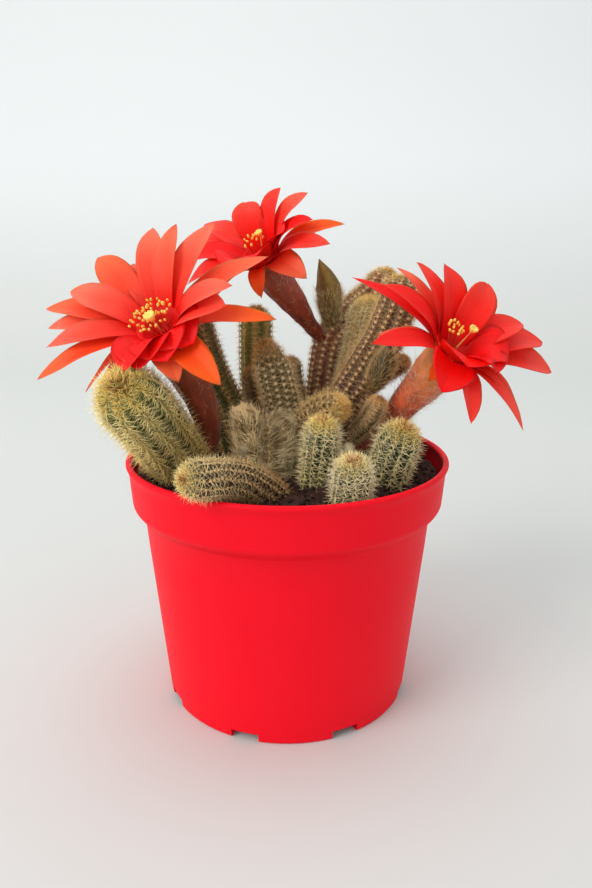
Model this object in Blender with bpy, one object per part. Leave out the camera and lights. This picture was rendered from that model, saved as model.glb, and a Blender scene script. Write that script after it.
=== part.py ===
"""A potted peanut cactus: ribbed finger stems with spines and three red flowers in a red nursery pot.

Blender 4.5, metres, +Z up. The origin is the centre of the pot's flat base, on the surface it stands
on, and -Y is the front. Lengths below are in millimetres and become metres through MM.
"""

import math
import random

import bmesh
import bpy
from mathutils import Matrix, Vector
from mathutils.bvhtree import BVHTree

MM = 0.001
GAP = 0.3  # clearance between pieces that touch
SAME_PLACE = 0.02
SEAT_GAP = 0.4  # the same where a bud or a flower tube is cut to the round of its stem

# Pot
POT_HEIGHT = 81.8
POT_LIP_R = 52.4
POT_LIP_FLARE = 3.4  # height over which the lip flares out
POT_COLLAR_R = 51.5
POT_SHOULDER_TOP_Z = 69.2
POT_SHOULDER_R = 50.8
POT_SHOULDER_STEP = 1.6  # height and a little more than the depth of the step under the shoulder
POT_NECK_Z = 64.3
POT_NECK_R = 47.2
POT_FOOT_R = 41.0
POT_WALL = 1.3
POT_BASE = 1.4
POT_SIDES = 40
NOTCH_COUNT = 8
NOTCH_WIDTH = 9.0
NOTCH_HEIGHT = 3.0
NOTCH_DEPTH = 6.0
NOTCH_FIRST_DEG = 27.0

# Soil
SOIL_Z = 76.5
SOIL_LUMP = 1.1
SOIL_WAVES = (0.37, 0.41)
SOIL_RIPPLES = (0.9, 0.8)
SOIL_SIDES = 20
SOIL_CLEAR = 0.55
HOLE_SIDES = 8
HOLE_CLEAR = 0.5
HOLE_DEPTHS = (0.0, 8.0, 17.0, 26.0)
HOLE_END = 0.95

# Stem shape
RING_STEP = 10.8
CROWN_ANGLES = (12, 42, 70)
RIB_DEPTH = 0.17
RIB_TWIST = 0.35

# Spines, and the small scales and hairs of tubes and buds
SPINE_EVERY = 3  # one spine on every third crest, a step further round at each ring
SPINE_LENGTH = 3.4
SPINE_BASE = 0.42
SPINE_VARIES = (0.85, 1.1)
SPINE_SIDEWAYS = 0.35
SPINE_LEAN = 0.45
SPINE_CLEAR = 0.35
SPINE_OWN_CLEAR = 0.9
SPINE_LOWEST = SOIL_Z + 2.5
WOOLLY_LENGTH = 2.5
HAIR_LENGTH = 1.8
HAIR_LEAN = 1.1

# Flowers
PETAL_THICK = 0.9
CUP_SIDES = 10
CUP_WALL = 1.2
CUP_DEPTH = 7.0
CUP_FLOOR_R = 6.0
CUP_RIM_R = 7.6
PETAL_ROOT_R = 6.3
PETAL_ROOT_DEPTH = 3.0
PETAL_BEND_R = 9.0
PETAL_ARCH = 5.0
PETAL_CUPPING = 0.22
PETAL_SHAPE = ((0.0, 0.5), (0.28, 0.8), (0.6, 1.0), (0.86, 0.66))
LIP_PETALS = 3  # short inner petals that rise as a lip in front of the stamens
LIP_PETAL = (13.0, 7.0, 10.5)  # reach, lift, width
TUBE_SIDES = 10
TUBE_STATIONS = (0.0, 0.14, 0.28, 0.42, 0.56, 0.7, 0.85, 1.0)
STAMENS = 11
STYLE_SHAPE = ((2.6, -5.5), (1.4, -2.0), (0.9, 1.0), (0.9, 3.4), (1.9, 4.6), (1.5, 6.0))  # (radius, height)
STIGMA_TOP = 6.8
FILAMENT_R = 0.38
ANTHER_R = 0.95
ANTHER_HALF = 0.9
ANTHER_SPREAD = (2.8, 6.0)
ANTHER_RISE = 3.6
ANTHER_DROP = 0.3  # how much lower an anther stands for each millimetre out
ANTHER_STEP = 0.9
GOLDEN = 0.381966

random.seed(7)


def clear_scene():
    for obj in list(bpy.data.objects):
        bpy.data.objects.remove(obj, do_unlink=True)


def make_material(name, colour, roughness, metallic=0.0):
    material = bpy.data.materials.new(name)
    material.use_nodes = True
    shader = material.node_tree.nodes["Principled BSDF"]
    shader.inputs["Base Color"].default_value = (*colour, 1.0)
    shader.inputs["Roughness"].default_value = roughness
    shader.inputs["Metallic"].default_value = metallic
    material.diffuse_color = (*colour, 1.0)
    return material


def add_object(name, bm, material, smooth_deg=40):
    """Turn a bmesh in millimetres into a named object in metres."""
    bmesh.ops.recalc_face_normals(bm, faces=bm.faces)
    bmesh.ops.scale(bm, vec=(MM, MM, MM), verts=bm.verts)
    mesh = bpy.data.meshes.new(name)
    bm.to_mesh(mesh)
    bm.free()
    mesh.shade_smooth()
    mesh.set_sharp_from_angle(angle=math.radians(smooth_deg))
    mesh.materials.append(material)
    obj = bpy.data.objects.new(name, mesh)
    bpy.context.scene.collection.objects.link(obj)
    return obj


def apply_boolean(obj, helpers, operation, solver="EXACT"):
    """Join or cut all the helpers at once, then drop them."""
    group = bpy.data.collections.new(obj.name + "_helpers")
    bpy.context.scene.collection.children.link(group)
    for helper in helpers:
        bpy.context.scene.collection.objects.unlink(helper)
        group.objects.link(helper)
    modifier = obj.modifiers.new("helpers", "BOOLEAN")
    modifier.operation = operation
    modifier.solver = solver
    modifier.operand_type = "COLLECTION"
    modifier.collection = group
    bpy.context.view_layer.update()
    graph = bpy.context.evaluated_depsgraph_get()
    joined = bpy.data.meshes.new_from_object(obj.evaluated_get(graph))
    obj.modifiers.remove(modifier)
    obj.data = joined
    for helper in helpers:
        bpy.data.objects.remove(helper, do_unlink=True)
    bpy.data.collections.remove(group)


def ring_of_points(centre, side, front, radii, turn=0.0):
    """One closed ring of points round a centre; radii gives a radius for each of its points."""
    count = len(radii)
    points = []
    for index, radius in enumerate(radii):
        angle = turn + 2 * math.pi * index / count
        points.append(centre + radius * (math.cos(angle) * side + math.sin(angle) * front))
    return points


def loft(bm, rings, close_start=True, close_end=True, tip=None):
    """Skin a list of rings of points; tip closes the end with a point instead of a flat face."""
    rows = [[bm.verts.new(point) for point in ring] for ring in rings]
    for low, high in zip(rows, rows[1:]):
        for index in range(len(low)):
            after = (index + 1) % len(low)
            bm.faces.new((low[index], low[after], high[after], high[index]))
    if close_start:
        bm.faces.new(rows[0][::-1])
    if tip is not None:
        apex = bm.verts.new(tip)
        for index in range(len(rows[-1])):
            after = (index + 1) % len(rows[-1])
            bm.faces.new((rows[-1][index], rows[-1][after], apex))
    elif close_end:
        bm.faces.new(rows[-1])
    return rows


def turned_profile(profile, sides, turn=0.0):
    """A closed profile of (radius, height) points turned round Z; radius 0 stands for the axis."""
    bm = bmesh.new()
    rows = []
    for radius, height in profile:
        if radius == 0:
            rows.append([bm.verts.new((0, 0, height))] * sides)
            continue
        row = []
        for index in range(sides):
            angle = turn + 2 * math.pi * index / sides
            row.append(bm.verts.new((radius * math.cos(angle), radius * math.sin(angle), height)))
        rows.append(row)
    for low, high in zip(rows, rows[1:] + rows[:1]):
        for index in range(sides):
            after = (index + 1) % sides
            corners = []
            for vert in (low[index], low[after], high[after], high[index]):
                if vert not in corners:
                    corners.append(vert)
            if len(corners) > 2:
                bm.faces.new(corners)
    return bm


class Path:
    """A smooth line through a few chosen points, with a frame that doesn't twist along it."""

    def __init__(self, points, steps=8):
        ends = [Vector(point) for point in points]
        first = 2 * ends[0] - ends[1]
        last = 2 * ends[-1] - ends[-2]
        knots = [first, *ends, last]
        self.points = []
        for a, b, c, d in zip(knots, knots[1:], knots[2:], knots[3:]):
            for step in range(steps):
                self.points.append(self.catmull(a, b, c, d, step / steps))
        self.points.append(ends[-1])
        self.lengths = [0.0]
        for a, b in zip(self.points, self.points[1:]):
            self.lengths.append(self.lengths[-1] + (b - a).length)
        self.length = self.lengths[-1]

    @staticmethod
    def catmull(a, b, c, d, t):
        return 0.5 * (
            2 * b + (c - a) * t + (2 * a - 5 * b + 4 * c - d) * t**2 + (3 * b - a - 3 * c + d) * t**3
        )

    def point(self, fraction):
        wanted = min(max(fraction, 0.0), 1.0) * self.length
        for index in range(len(self.points) - 1):
            if self.lengths[index + 1] >= wanted or index == len(self.points) - 2:
                span = self.lengths[index + 1] - self.lengths[index]
                share = (wanted - self.lengths[index]) / span
                return self.points[index].lerp(self.points[index + 1], share)
        return self.points[-1]

    def direction(self, fraction):
        reach = 0.04
        low = max(fraction - reach, 0.0)
        high = min(fraction + reach, 1.0)
        return (self.point(high) - self.point(low)).normalized()

    def frame(self, fraction):
        """(centre, side, front, along) at a fraction of the length."""
        along = self.direction(fraction)
        side = along.cross(Vector((0.15, 1.0, 0.1))).normalized()
        front = along.cross(side)
        return self.point(fraction), side, front, along


class Stem:
    """A ribbed finger of the plant: points run from its foot in the soil to the tip of its crown."""

    def __init__(self, points, radius, ribs, foot=0.9, crown=1.0, branches=(), balls=(), woolly=False):
        self.path = Path(points)
        self.radius = radius
        self.crown = crown * radius
        self.ribs = ribs
        self.foot = foot
        self.branches = branches
        self.balls = balls
        self.woolly = woolly

    def width(self, fraction):
        """The crest radius along the stem, which ends in a round crown."""
        left = (1.0 - fraction) * self.path.length
        body = self.radius * (self.foot + (1 - self.foot) * min(fraction / 0.5, 1.0))
        if left >= self.crown:
            return body
        return body * math.sqrt(max(1.0 - (1.0 - left / self.crown) ** 2, 0.0))

    def stations(self):
        """Fractions of the length where a ring is set: even along the body, then up the crown."""
        body_end = 1.0 - self.crown / self.path.length
        count = max(3, round(body_end * self.path.length / RING_STEP))
        body = [body_end * index / count for index in range(count)]
        crown = [1.0 - (1.0 - math.sin(math.radians(angle))) * self.crown / self.path.length
                 for angle in CROWN_ANGLES]
        return body + crown

    def rings(self, extra=0.0, sides=None, stations=None):
        """(rings of points, spots): a spot is (place, outward, along) on a rib's crest."""
        rings = []
        spots = []
        for row, fraction in enumerate(stations or self.stations()):
            centre, side, front, along = self.path.frame(fraction)
            width = self.width(fraction) + extra
            depth = RIB_DEPTH * min(self.width(fraction) / self.radius, 1.0) ** 2
            if sides is None:
                radii = [width, width * (1 - depth)] * self.ribs
            else:
                radii = [width] * sides
            turn = RIB_TWIST * fraction * self.path.length / 100
            ring = ring_of_points(centre, side, front, radii, turn)
            rings.append(ring)
            if sides is None:
                for rib in range(self.ribs):
                    if (rib + row) % SPINE_EVERY == 0 or self.woolly:
                        place = ring[2 * rib]
                        spots.append((place, (place - centre).normalized(), along))
        return rings, spots

    def solid(self, name, material):
        bm = bmesh.new()
        rings, spots = self.rings()
        loft(bm, rings, tip=self.path.point(1.0))
        obj = add_object(name, bm, material)
        helpers = []
        for index, branch in enumerate(self.branches):
            helper = bmesh.new()
            rings, more = branch.rings()
            loft(helper, rings, tip=branch.path.point(1.0))
            helpers.append(add_object(f"{name}_branch_{index}", helper, material))
            spots += more
        for index, (centre, radius) in enumerate(self.balls):
            helper = bmesh.new()
            bmesh.ops.create_icosphere(
                helper, subdivisions=1, radius=radius, matrix=Matrix.Translation(centre)
            )
            helpers.append(add_object(f"{name}_ball_{index}", helper, material))
        if helpers:
            apply_boolean(obj, helpers, "UNION")
        return obj, spots


STEMS = {
    "stem_left": Stem(
        [(-31, -8, 65), (-33, -10, 79), (-39, -17.8, 93), (-44, -29.5, 105.2), (-45.9, -35.7, 110.8)],
        8.8, 9),
    "stem_over_rim": Stem(
        [(-2, -23, 65), (-4.3, -27, 75), (-10.5, -35, 82.6), (-16.5, -41.3, 85.9), (-21.5, -46.8, 87.4),
         (-26.3, -52.3, 89.2)], 4.9, 12, foot=1.05),
    "stem_middle": Stem([(0.5, 4, 65), (0, 3, 85), (-3.8, 2, 105.5), (-7.6, 1.5, 117.3)], 5.3, 12, crown=2.2),
    "stem_turned": Stem(
        [(7, -7, 65), (6, -6, 83), (6, -6.5, 92.6), (11, -9, 98.2), (17.6, -13, 99.4)], 4.1, 10),
    "stem_front": Stem([(8.5, -18, 65), (9.5, -19, 81), (10.3, -20.5, 90), (10.6, -22.3, 97.6)], 4.7, 11,
                       balls=[((15.7, -20.5, 87.7), 1.8), ((18.4, -20.5, 88.7), 1.8)]),
    "stem_front_right": Stem([(18, -31, 65), (18.4, -34, 77), (18.8, -36, 84.5), (18.5, -38.6, 90.2)],
                             5.0, 11),
    "stem_right": Stem([(28.5, -15.5, 65), (31.5, -17.5, 82), (33.5, -19.5, 90), (34.9, -22, 95.6)], 5.9, 11),
    "stem_tall": Stem(
        [(16.5, -1, 65), (17, -1, 94), (21.4, 1, 103.1), (26.6, 3.5, 111.2), (31.1, 6, 118.7),
         (35.6, 9, 129.3), (38.3, 12, 137)], 6.3, 12,
        branches=[Stem([(20.5, -3, 88), (26, -7.6, 95), (28.6, -9.6, 101.3)], 2.8, 5),
                  Stem([(23, 6, 101), (30, 6, 106), (35, 4, 109.5), (38.3, 3, 111.6)], 2.7, 5)]),
    "stem_pale": Stem([(20, 15, 65), (22, 17.5, 98), (25, 19, 114), (28, 21, 129.6)], 5.6, 11),
    "stem_purple": Stem(
        [(10, 24, 65), (12, 24, 95), (14.5, 26, 113.5), (18.1, 29, 119.9), (23.2, 33, 124.8),
         (29.7, 35, 129.6), (33.6, 36, 133.8), (36, 36.5, 138.6)], 5.8, 11),
    "stem_left_back": Stem([(-14, 8, 65), (-19.5, 11, 91), (-26, 12, 105), (-33.5, 13, 128)], 5.8, 9),
    "stem_back": Stem([(-10, 25, 65), (-11.6, 26, 100), (-11.6, 27, 126)], 5.2, 8),
    "stub_back_left": Stem([(-5, 14, 65), (-9, 15.5, 92), (-12, 16, 107)], 4.0, 7),
    "stub_back": Stem([(5, 13, 65), (3.5, 14.5, 90), (0.5, 15, 110)], 3.2, 6),
    "stub_right_back": Stem([(34, 7, 65), (35, 7.5, 78), (35.5, 8, 87)], 4.6, 6),
    "stub_left": Stem([(-30, 14, 65), (-32, 16, 78), (-33, 17, 86)], 5.4, 7),
    "stub_far_right": Stem([(34.5, 21, 65), (35.5, 22, 77), (36, 22, 87)], 4.8, 7),
    "stub_far_back": Stem([(2, 36, 65), (1.5, 37, 82), (1, 37.5, 97)], 5.2, 7),
    "woolly_shoot_left": Stem([(-12, -6, 65), (-12, -6, 84), (-13.5, -6, 97)], 4.2, 6,
                              balls=[((-13.8, -10.2, 85.5), 1.8)], woolly=True),
    "woolly_shoot_right": Stem([(-3, -9.5, 65), (-3, -10.5, 84), (-3, -10.5, 96)], 4.6, 6, woolly=True),
}


class Surroundings:
    """Every solid as it stands, so that spines keep clear of their neighbours and of each other."""

    def __init__(self, objects):
        self.trees = {}
        for obj in objects:
            points = [vert.co / MM for vert in obj.data.vertices]
            faces = [tuple(face.vertices) for face in obj.data.polygons]
            self.trees[obj.name] = BVHTree.FromPolygons(points, faces)
        self.spines = []

    def clear(self, owner, foot, tip):
        """Whether a spine from foot to tip of the owner meets nothing else."""
        along = tip - foot
        for name, tree in self.trees.items():
            margin = SPINE_OWN_CLEAR if name == owner else SPINE_CLEAR
            start = foot + along * (0.4 if name == owner else 0.05)
            if tree.ray_cast(start, along.normalized(), (tip - start).length)[0] is not None:
                return False
            for share in (0.6, 1.0):
                if tree.find_nearest(foot + share * along)[3] < margin * share:
                    return False
        for other_foot, other_tip in self.spines:
            if (other_tip - tip).length < 2 * SPINE_LENGTH:
                if self.apart(foot, tip, other_foot, other_tip) < 2 * SPINE_BASE + GAP:
                    return False
        return True

    @staticmethod
    def apart(a, b, c, d):
        """The least distance between the straight lines ab and cd, read at a few points."""
        first = [a.lerp(b, share) for share in (0, 0.25, 0.5, 0.75, 1)]
        second = [c.lerp(d, share) for share in (0, 0.25, 0.5, 0.75, 1)]
        return min((p - q).length for p in first for q in second)


def add_spines(obj, spots, length, around, lean=SPINE_LEAN):
    """Raise a slim spine from the surface at each spot that has room for one."""
    bm = bmesh.new()
    bm.from_mesh(obj.data)
    bmesh.ops.scale(bm, vec=(1 / MM, 1 / MM, 1 / MM), verts=bm.verts)
    chosen = []
    for place, outward, along in spots:
        side = random.choice((-SPINE_SIDEWAYS, SPINE_SIDEWAYS)) * outward.cross(along)
        reach = (outward + lean * along + side).normalized() * length * random.uniform(*SPINE_VARIES)
        if place.z < SPINE_LOWEST or not around.clear(obj.name, place, place + reach):
            continue
        foot = [vert for vert in bm.verts if (vert.co - place).length < SAME_PLACE]
        if foot:
            chosen.append((foot[0], place, reach))
            around.spines.append((place, place + reach))
    made = bmesh.ops.bevel(
        bm, geom=[vert for vert, _, _ in chosen], offset=SPINE_BASE, affect="VERTICES", segments=1
    )
    for face in made["faces"]:
        centre = face.calc_center_median()
        _, place, reach = min(chosen, key=lambda item: (item[1] - centre).length)
        poked = bmesh.ops.poke(bm, faces=[face])
        poked["verts"][0].co = place + reach
    bmesh.ops.scale(bm, vec=(MM, MM, MM), verts=bm.verts)
    bm.to_mesh(obj.data)
    bm.free()


class Bud:
    """A closed pointed bud: it starts inside the stem that bears it, and is trimmed to sit on it."""

    SIDES = 8
    FLATS = 0.86  # how far in each second corner lies

    def __init__(self, seat, points, radius):
        self.seat = seat
        self.path = Path(points)
        self.radius = radius

    def solid(self, name, material):
        rings = []
        spots = []
        for row, (fraction, share) in enumerate(BUD_SHAPE):
            centre, side, front, along = self.path.frame(fraction)
            radii = [self.radius * share * (1.0 if index % 2 else self.FLATS) for index in range(self.SIDES)]
            ring = ring_of_points(centre, side, front, radii, 0.4 * row)
            rings.append(ring)
            if 0 < row < len(BUD_SHAPE) - 1:
                spots += [(ring[i], (ring[i] - centre).normalized(), along) for i in range(1, self.SIDES, 2)]
        bm = bmesh.new()
        loft(bm, rings, tip=self.path.point(1.0))
        return add_object(name, bm, material), spots


BUD_SHAPE = ((0.0, 0.45), (0.17, 0.6), (0.31, 0.82), (0.46, 0.97), (0.66, 1.0), (0.84, 0.58))

BUDS = {
    "bud_pointed": Bud("stem_purple", [(16, 26.6, 117), (14.4, 23, 125), (13.2, 21, 134.5), (10.1, 21, 143.2)],
                       4.3),
    "bud_hairy": Bud("stem_tall", [(23.5, -1, 101.5), (27, -3, 105), (29.8, -6, 111.3), (31.5, -8, 119)],
                     3.8),
}


class Flower:
    """One open flower: a fleshy tube from a stem, a cup with petals round its rim, and its stamens.

    A petal is (azimuth, reach, lift, width): its tip's direction in degrees, clockwise from the top as
    seen from in front, and its distance out from and above the cup's rim centre. The lip is the range of
    azimuths that the short inner petals stand in.
    """

    def __init__(self, seat, centre, axis, tube, tube_radii, petals, lip):
        self.seat = seat
        self.centre = Vector(centre)
        self.axis = Vector(axis).normalized()
        self.right = Vector((0, 0, 1)).cross(self.axis).normalized()
        self.up = self.axis.cross(self.right)
        self.tube_path = Path([*tube, self.centre - (CUP_DEPTH + GAP) * self.axis])
        self.tube_radii = tube_radii
        reach, lift, width = LIP_PETAL
        self.petals = petals + [(lip[0] + (lip[1] - lip[0]) * index / (LIP_PETALS - 1), reach, lift, width)
                                for index in range(LIP_PETALS)]

    def place(self, out, height):
        """A point from its offset out in the rim's plane and its height above it."""
        return self.centre + out + height * self.axis

    def outward(self, azimuth_deg):
        angle = math.radians(azimuth_deg)
        return math.sin(angle) * self.right + math.cos(angle) * self.up

    def tube_radius(self, fraction):
        place = fraction * (len(self.tube_radii) - 1)
        low = min(int(place), len(self.tube_radii) - 2)
        return self.tube_radii[low] + (place - low) * (self.tube_radii[low + 1] - self.tube_radii[low])

    def tube(self, name, material):
        rings = []
        spots = []
        last = len(TUBE_STATIONS) - 1
        for row, fraction in enumerate(TUBE_STATIONS):
            centre, side, front, along = self.tube_path.frame(fraction)
            if row == last:
                # The end lies flat under the cup, with its first point where the ring below has its own.
                along = self.axis
                front = along.cross(side).normalized()
                side = front.cross(along)
            ring = ring_of_points(centre, side, front, [self.tube_radius(fraction)] * TUBE_SIDES)
            rings.append(ring)
            if 0 < row < last:
                spots += [(ring[i], (ring[i] - centre).normalized(), along)
                          for i in range(3 * row % 4, TUBE_SIDES, 4)]
        bm = bmesh.new()
        loft(bm, rings)
        return add_object(name, bm, material), spots

    def cup(self, name, material):
        profile = [(0, -CUP_DEPTH), (CUP_FLOOR_R, -CUP_DEPTH), (CUP_RIM_R, 0), (CUP_RIM_R - CUP_WALL, 0),
                   (CUP_FLOOR_R - CUP_WALL, CUP_WALL - CUP_DEPTH), (0, CUP_WALL - CUP_DEPTH)]
        bm = turned_profile(profile, CUP_SIDES)
        turn = Matrix((self.right, self.up, self.axis)).transposed().to_4x4()
        bmesh.ops.transform(bm, matrix=Matrix.Translation(self.centre) @ turn, verts=bm.verts)
        return add_object(name, bm, material)

    def petal(self, name, row, material):
        azimuth, reach, lift, width = row
        out = self.outward(azimuth)
        side = self.axis.cross(out)
        root = self.place(PETAL_ROOT_R * out, -PETAL_ROOT_DEPTH)
        bend = self.place(max(0.45 * reach, PETAL_BEND_R) * out, PETAL_ARCH + 0.5 * lift)
        tip = self.place(reach * out, lift)
        bm = bmesh.new()
        rows = []
        for t, share in PETAL_SHAPE:
            point = (1 - t) ** 2 * root + 2 * t * (1 - t) * bend + t * t * tip
            along = (2 * (1 - t) * (bend - root) + 2 * t * (tip - bend)).normalized()
            normal = along.cross(side).normalized()
            half = 0.5 * width * share
            edge = PETAL_CUPPING * half * normal
            corners = (point - half * side + edge, point + 0.5 * PETAL_THICK * normal,
                       point + half * side + edge, point - 0.5 * PETAL_THICK * normal)
            rows.append([bm.verts.new(corner) for corner in corners])
        for low, high in zip(rows, rows[1:]):
            for edge_index, mid_index in ((0, 1), (2, 1), (2, 3), (0, 3)):
                bm.faces.new((low[edge_index], low[mid_index], high[mid_index]))
                bm.faces.new((low[edge_index], high[mid_index], high[edge_index]))
        bm.faces.new(rows[0])
        apex = bm.verts.new(tip)
        for index in range(4):
            bm.faces.new((rows[-1][index], rows[-1][(index + 1) % 4], apex))
        return add_object(name, bm, material)

    def corolla(self, name, material):
        cup = self.cup(name, material)
        petals = [self.petal(f"{name}_{index}", row, material) for index, row in enumerate(self.petals)]
        apply_boolean(cup, petals, "UNION")
        return cup

    def stamens(self, name, material):
        """A slim core with the style and its stigma, and filaments with anthers sunk into it."""
        bm = bmesh.new()
        rings = [ring_of_points(self.place(Vector(), height), self.right, self.up, [radius] * 6)
                 for radius, height in STYLE_SHAPE]
        loft(bm, rings, tip=self.place(Vector(), STIGMA_TOP))
        core = add_object(name, bm, material)
        foot = self.place(Vector(), STYLE_SHAPE[0][1] + 1.2)
        filaments = []
        for index in range(STAMENS):
            out = self.outward(360 * index * GOLDEN)
            share = (index + 0.5) * GOLDEN % 1.0
            spread = ANTHER_SPREAD[0] + (ANTHER_SPREAD[1] - ANTHER_SPREAD[0]) * share
            head = self.place(spread * out, ANTHER_RISE - ANTHER_DROP * spread + ANTHER_STEP * (index % 3))
            root = foot + 0.3 * out
            along = (head - root).normalized()
            side = along.cross(self.up).normalized()
            front = along.cross(side)
            filament = bmesh.new()
            rings = [ring_of_points(root, side, front, [FILAMENT_R] * 3),
                     ring_of_points(head - ANTHER_HALF * along, side, front, [FILAMENT_R] * 3),
                     ring_of_points(head, side, front, [ANTHER_R] * 3)]
            loft(filament, rings, tip=head + ANTHER_HALF * along)
            filaments.append(add_object(f"{name}_{index}", filament, material))
        apply_boolean(core, filaments, "UNION")
        return core


FLOWERS = {
    "flower_left": Flower(
        "stem_left", (-38, -20, 127), (-0.31, -0.57, 0.76),
        [(-28.5, -9, 82), (-25, -7.5, 89), (-26.5, -10, 100), (-31, -13, 112)],
        (3.0, 3.9, 5.0, 6.8, 7.0),
        [(335, 33, 8, 8.5), (354, 29, 10, 8), (14, 33, 8, 9), (302, 35, 6, 10), (317, 28, 2, 8),
         (276, 31, 6, 9), (268, 40, 3, 8.5), (260, 38, 0, 8.5), (243, 34, 2, 7.5), (231, 39, -2, 7),
         (225, 29, -11, 4), (216, 27.5, -14, 7), (166, 20, 4, 9), (137, 20, -8, 8), (119, 30, -8, 9),
         (79, 24, 4, 9), (76, 35, -6, 7), (70, 26, 6, 8), (37, 38, -3, 9)], (98, 186)),
    "flower_back": Flower(
        "stem_purple", (-10, 12, 146), (-0.41, -0.51, 0.75),
        [(13, 25, 115), (8.5, 22.5, 119.5), (1, 17.5, 130), (-4.5, 15.5, 137)],
        (2.2, 2.7, 4.4, 5.6, 6.2),
        [(325, 15, 9, 10), (12, 18, 10, 8.5), (44, 22, 9, 8), (71, 22, 6, 8), (66, 30, 0, 6.5),
         (83, 27, 0, 7.5), (105, 21, -6, 9), (150, 18, -5, 6), (200, 24, -3, 8), (230, 26, 0, 8),
         (255, 28, 2, 8), (277, 32, 0, 8), (290, 34, 1, 8)], (85, 190)),
    "flower_right": Flower(
        "stem_tall", (51, -15, 120), (0.43, -0.49, 0.76),
        [(22, -0.5, 83), (29, 0, 87), (33, -0.5, 91), (37.5, -2, 98.5), (43.5, -6, 107)],
        (2.4, 3.4, 5.0, 6.6, 6.9),
        [(321, 37, 0, 5.5), (315, 29, 5, 8), (345, 29, 4, 5.5), (352, 26, 8, 8), (8, 22, 11, 9.5),
         (50, 18, 12, 10.5), (93, 24, 7, 9.5), (104, 33, 4, 9), (117, 36, 0, 8.5), (112, 34, -2, 7),
         (165, 31, -6, 7.5), (153, 27, -6, 5), (205, 26, -6, 7.5), (236, 18, -3, 9),
         (280, 32, -2, 7.5), (294, 26, -5, 5)], (135, 225)),
}


def trim_to_seat(obj, seat):
    """Cut a piece back to the stem that carries it, with the usual gap."""
    cutter = bmesh.new()
    rings, _ = STEMS[seat].rings(extra=SEAT_GAP)
    loft(cutter, rings, tip=STEMS[seat].path.point(1.0))
    apply_boolean(obj, [add_object("seat", cutter, None)], "DIFFERENCE")


def build_pot():
    wall = POT_WALL
    profile = [
        (0, 0), (POT_FOOT_R - 0.8, 0), (POT_FOOT_R, 0.8), (POT_NECK_R, POT_NECK_Z),
        (POT_SHOULDER_R - 1.2, POT_NECK_Z + POT_SHOULDER_STEP), (POT_SHOULDER_R, POT_SHOULDER_TOP_Z),
        (POT_COLLAR_R, POT_HEIGHT - POT_LIP_FLARE), (POT_LIP_R, POT_HEIGHT - 0.7),
        (POT_LIP_R - 0.5, POT_HEIGHT),
        (POT_LIP_R - wall, POT_HEIGHT), (POT_SHOULDER_R - wall, POT_SHOULDER_TOP_Z),
        (POT_NECK_R - wall, POT_NECK_Z), (POT_FOOT_R - wall + 0.1, POT_BASE), (0, POT_BASE),
    ]
    bm = turned_profile(profile, POT_SIDES)
    pot = add_object("pot", bm, make_material("pot", (0.75, 0.01, 0.02), 0.35), 30)
    notches = bmesh.new()
    for index in range(NOTCH_COUNT):
        angle = math.radians(NOTCH_FIRST_DEG + 360 * index / NOTCH_COUNT)
        spot = Matrix.Rotation(angle, 4, "Z") @ Matrix.Translation((POT_FOOT_R + 3 - NOTCH_DEPTH / 2, 0, 0))
        bmesh.ops.create_cube(
            notches, size=1,
            matrix=spot @ Matrix.Diagonal((NOTCH_DEPTH + 6, NOTCH_WIDTH, 2 * NOTCH_HEIGHT, 1)),
        )
    cutter = add_object("notches", notches, None)
    apply_boolean(pot, [cutter], "DIFFERENCE")
    return pot


def inner_radius(height):
    """The pot's inner wall radius at a height above its floor."""
    rise = (height - POT_BASE) / (POT_NECK_Z - POT_BASE)
    body = (POT_FOOT_R - POT_WALL) + rise * (POT_NECK_R - POT_FOOT_R)
    if height <= POT_NECK_Z:
        return body
    top = (height - POT_NECK_Z) / (POT_SHOULDER_TOP_Z - POT_NECK_Z)
    return POT_NECK_R - POT_WALL + min(top, 1.0) * (POT_SHOULDER_R - POT_NECK_R)


def soil_lump(x, y):
    """How far the soil's top rises above or falls below its mean level."""
    wave = math.sin(x * SOIL_WAVES[0] + 1.0) * math.sin(y * SOIL_WAVES[1] + 2.0)
    return SOIL_LUMP * (wave + 0.5 * math.sin(x * SOIL_RIPPLES[0]) * math.sin(y * SOIL_RIPPLES[1]))


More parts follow.
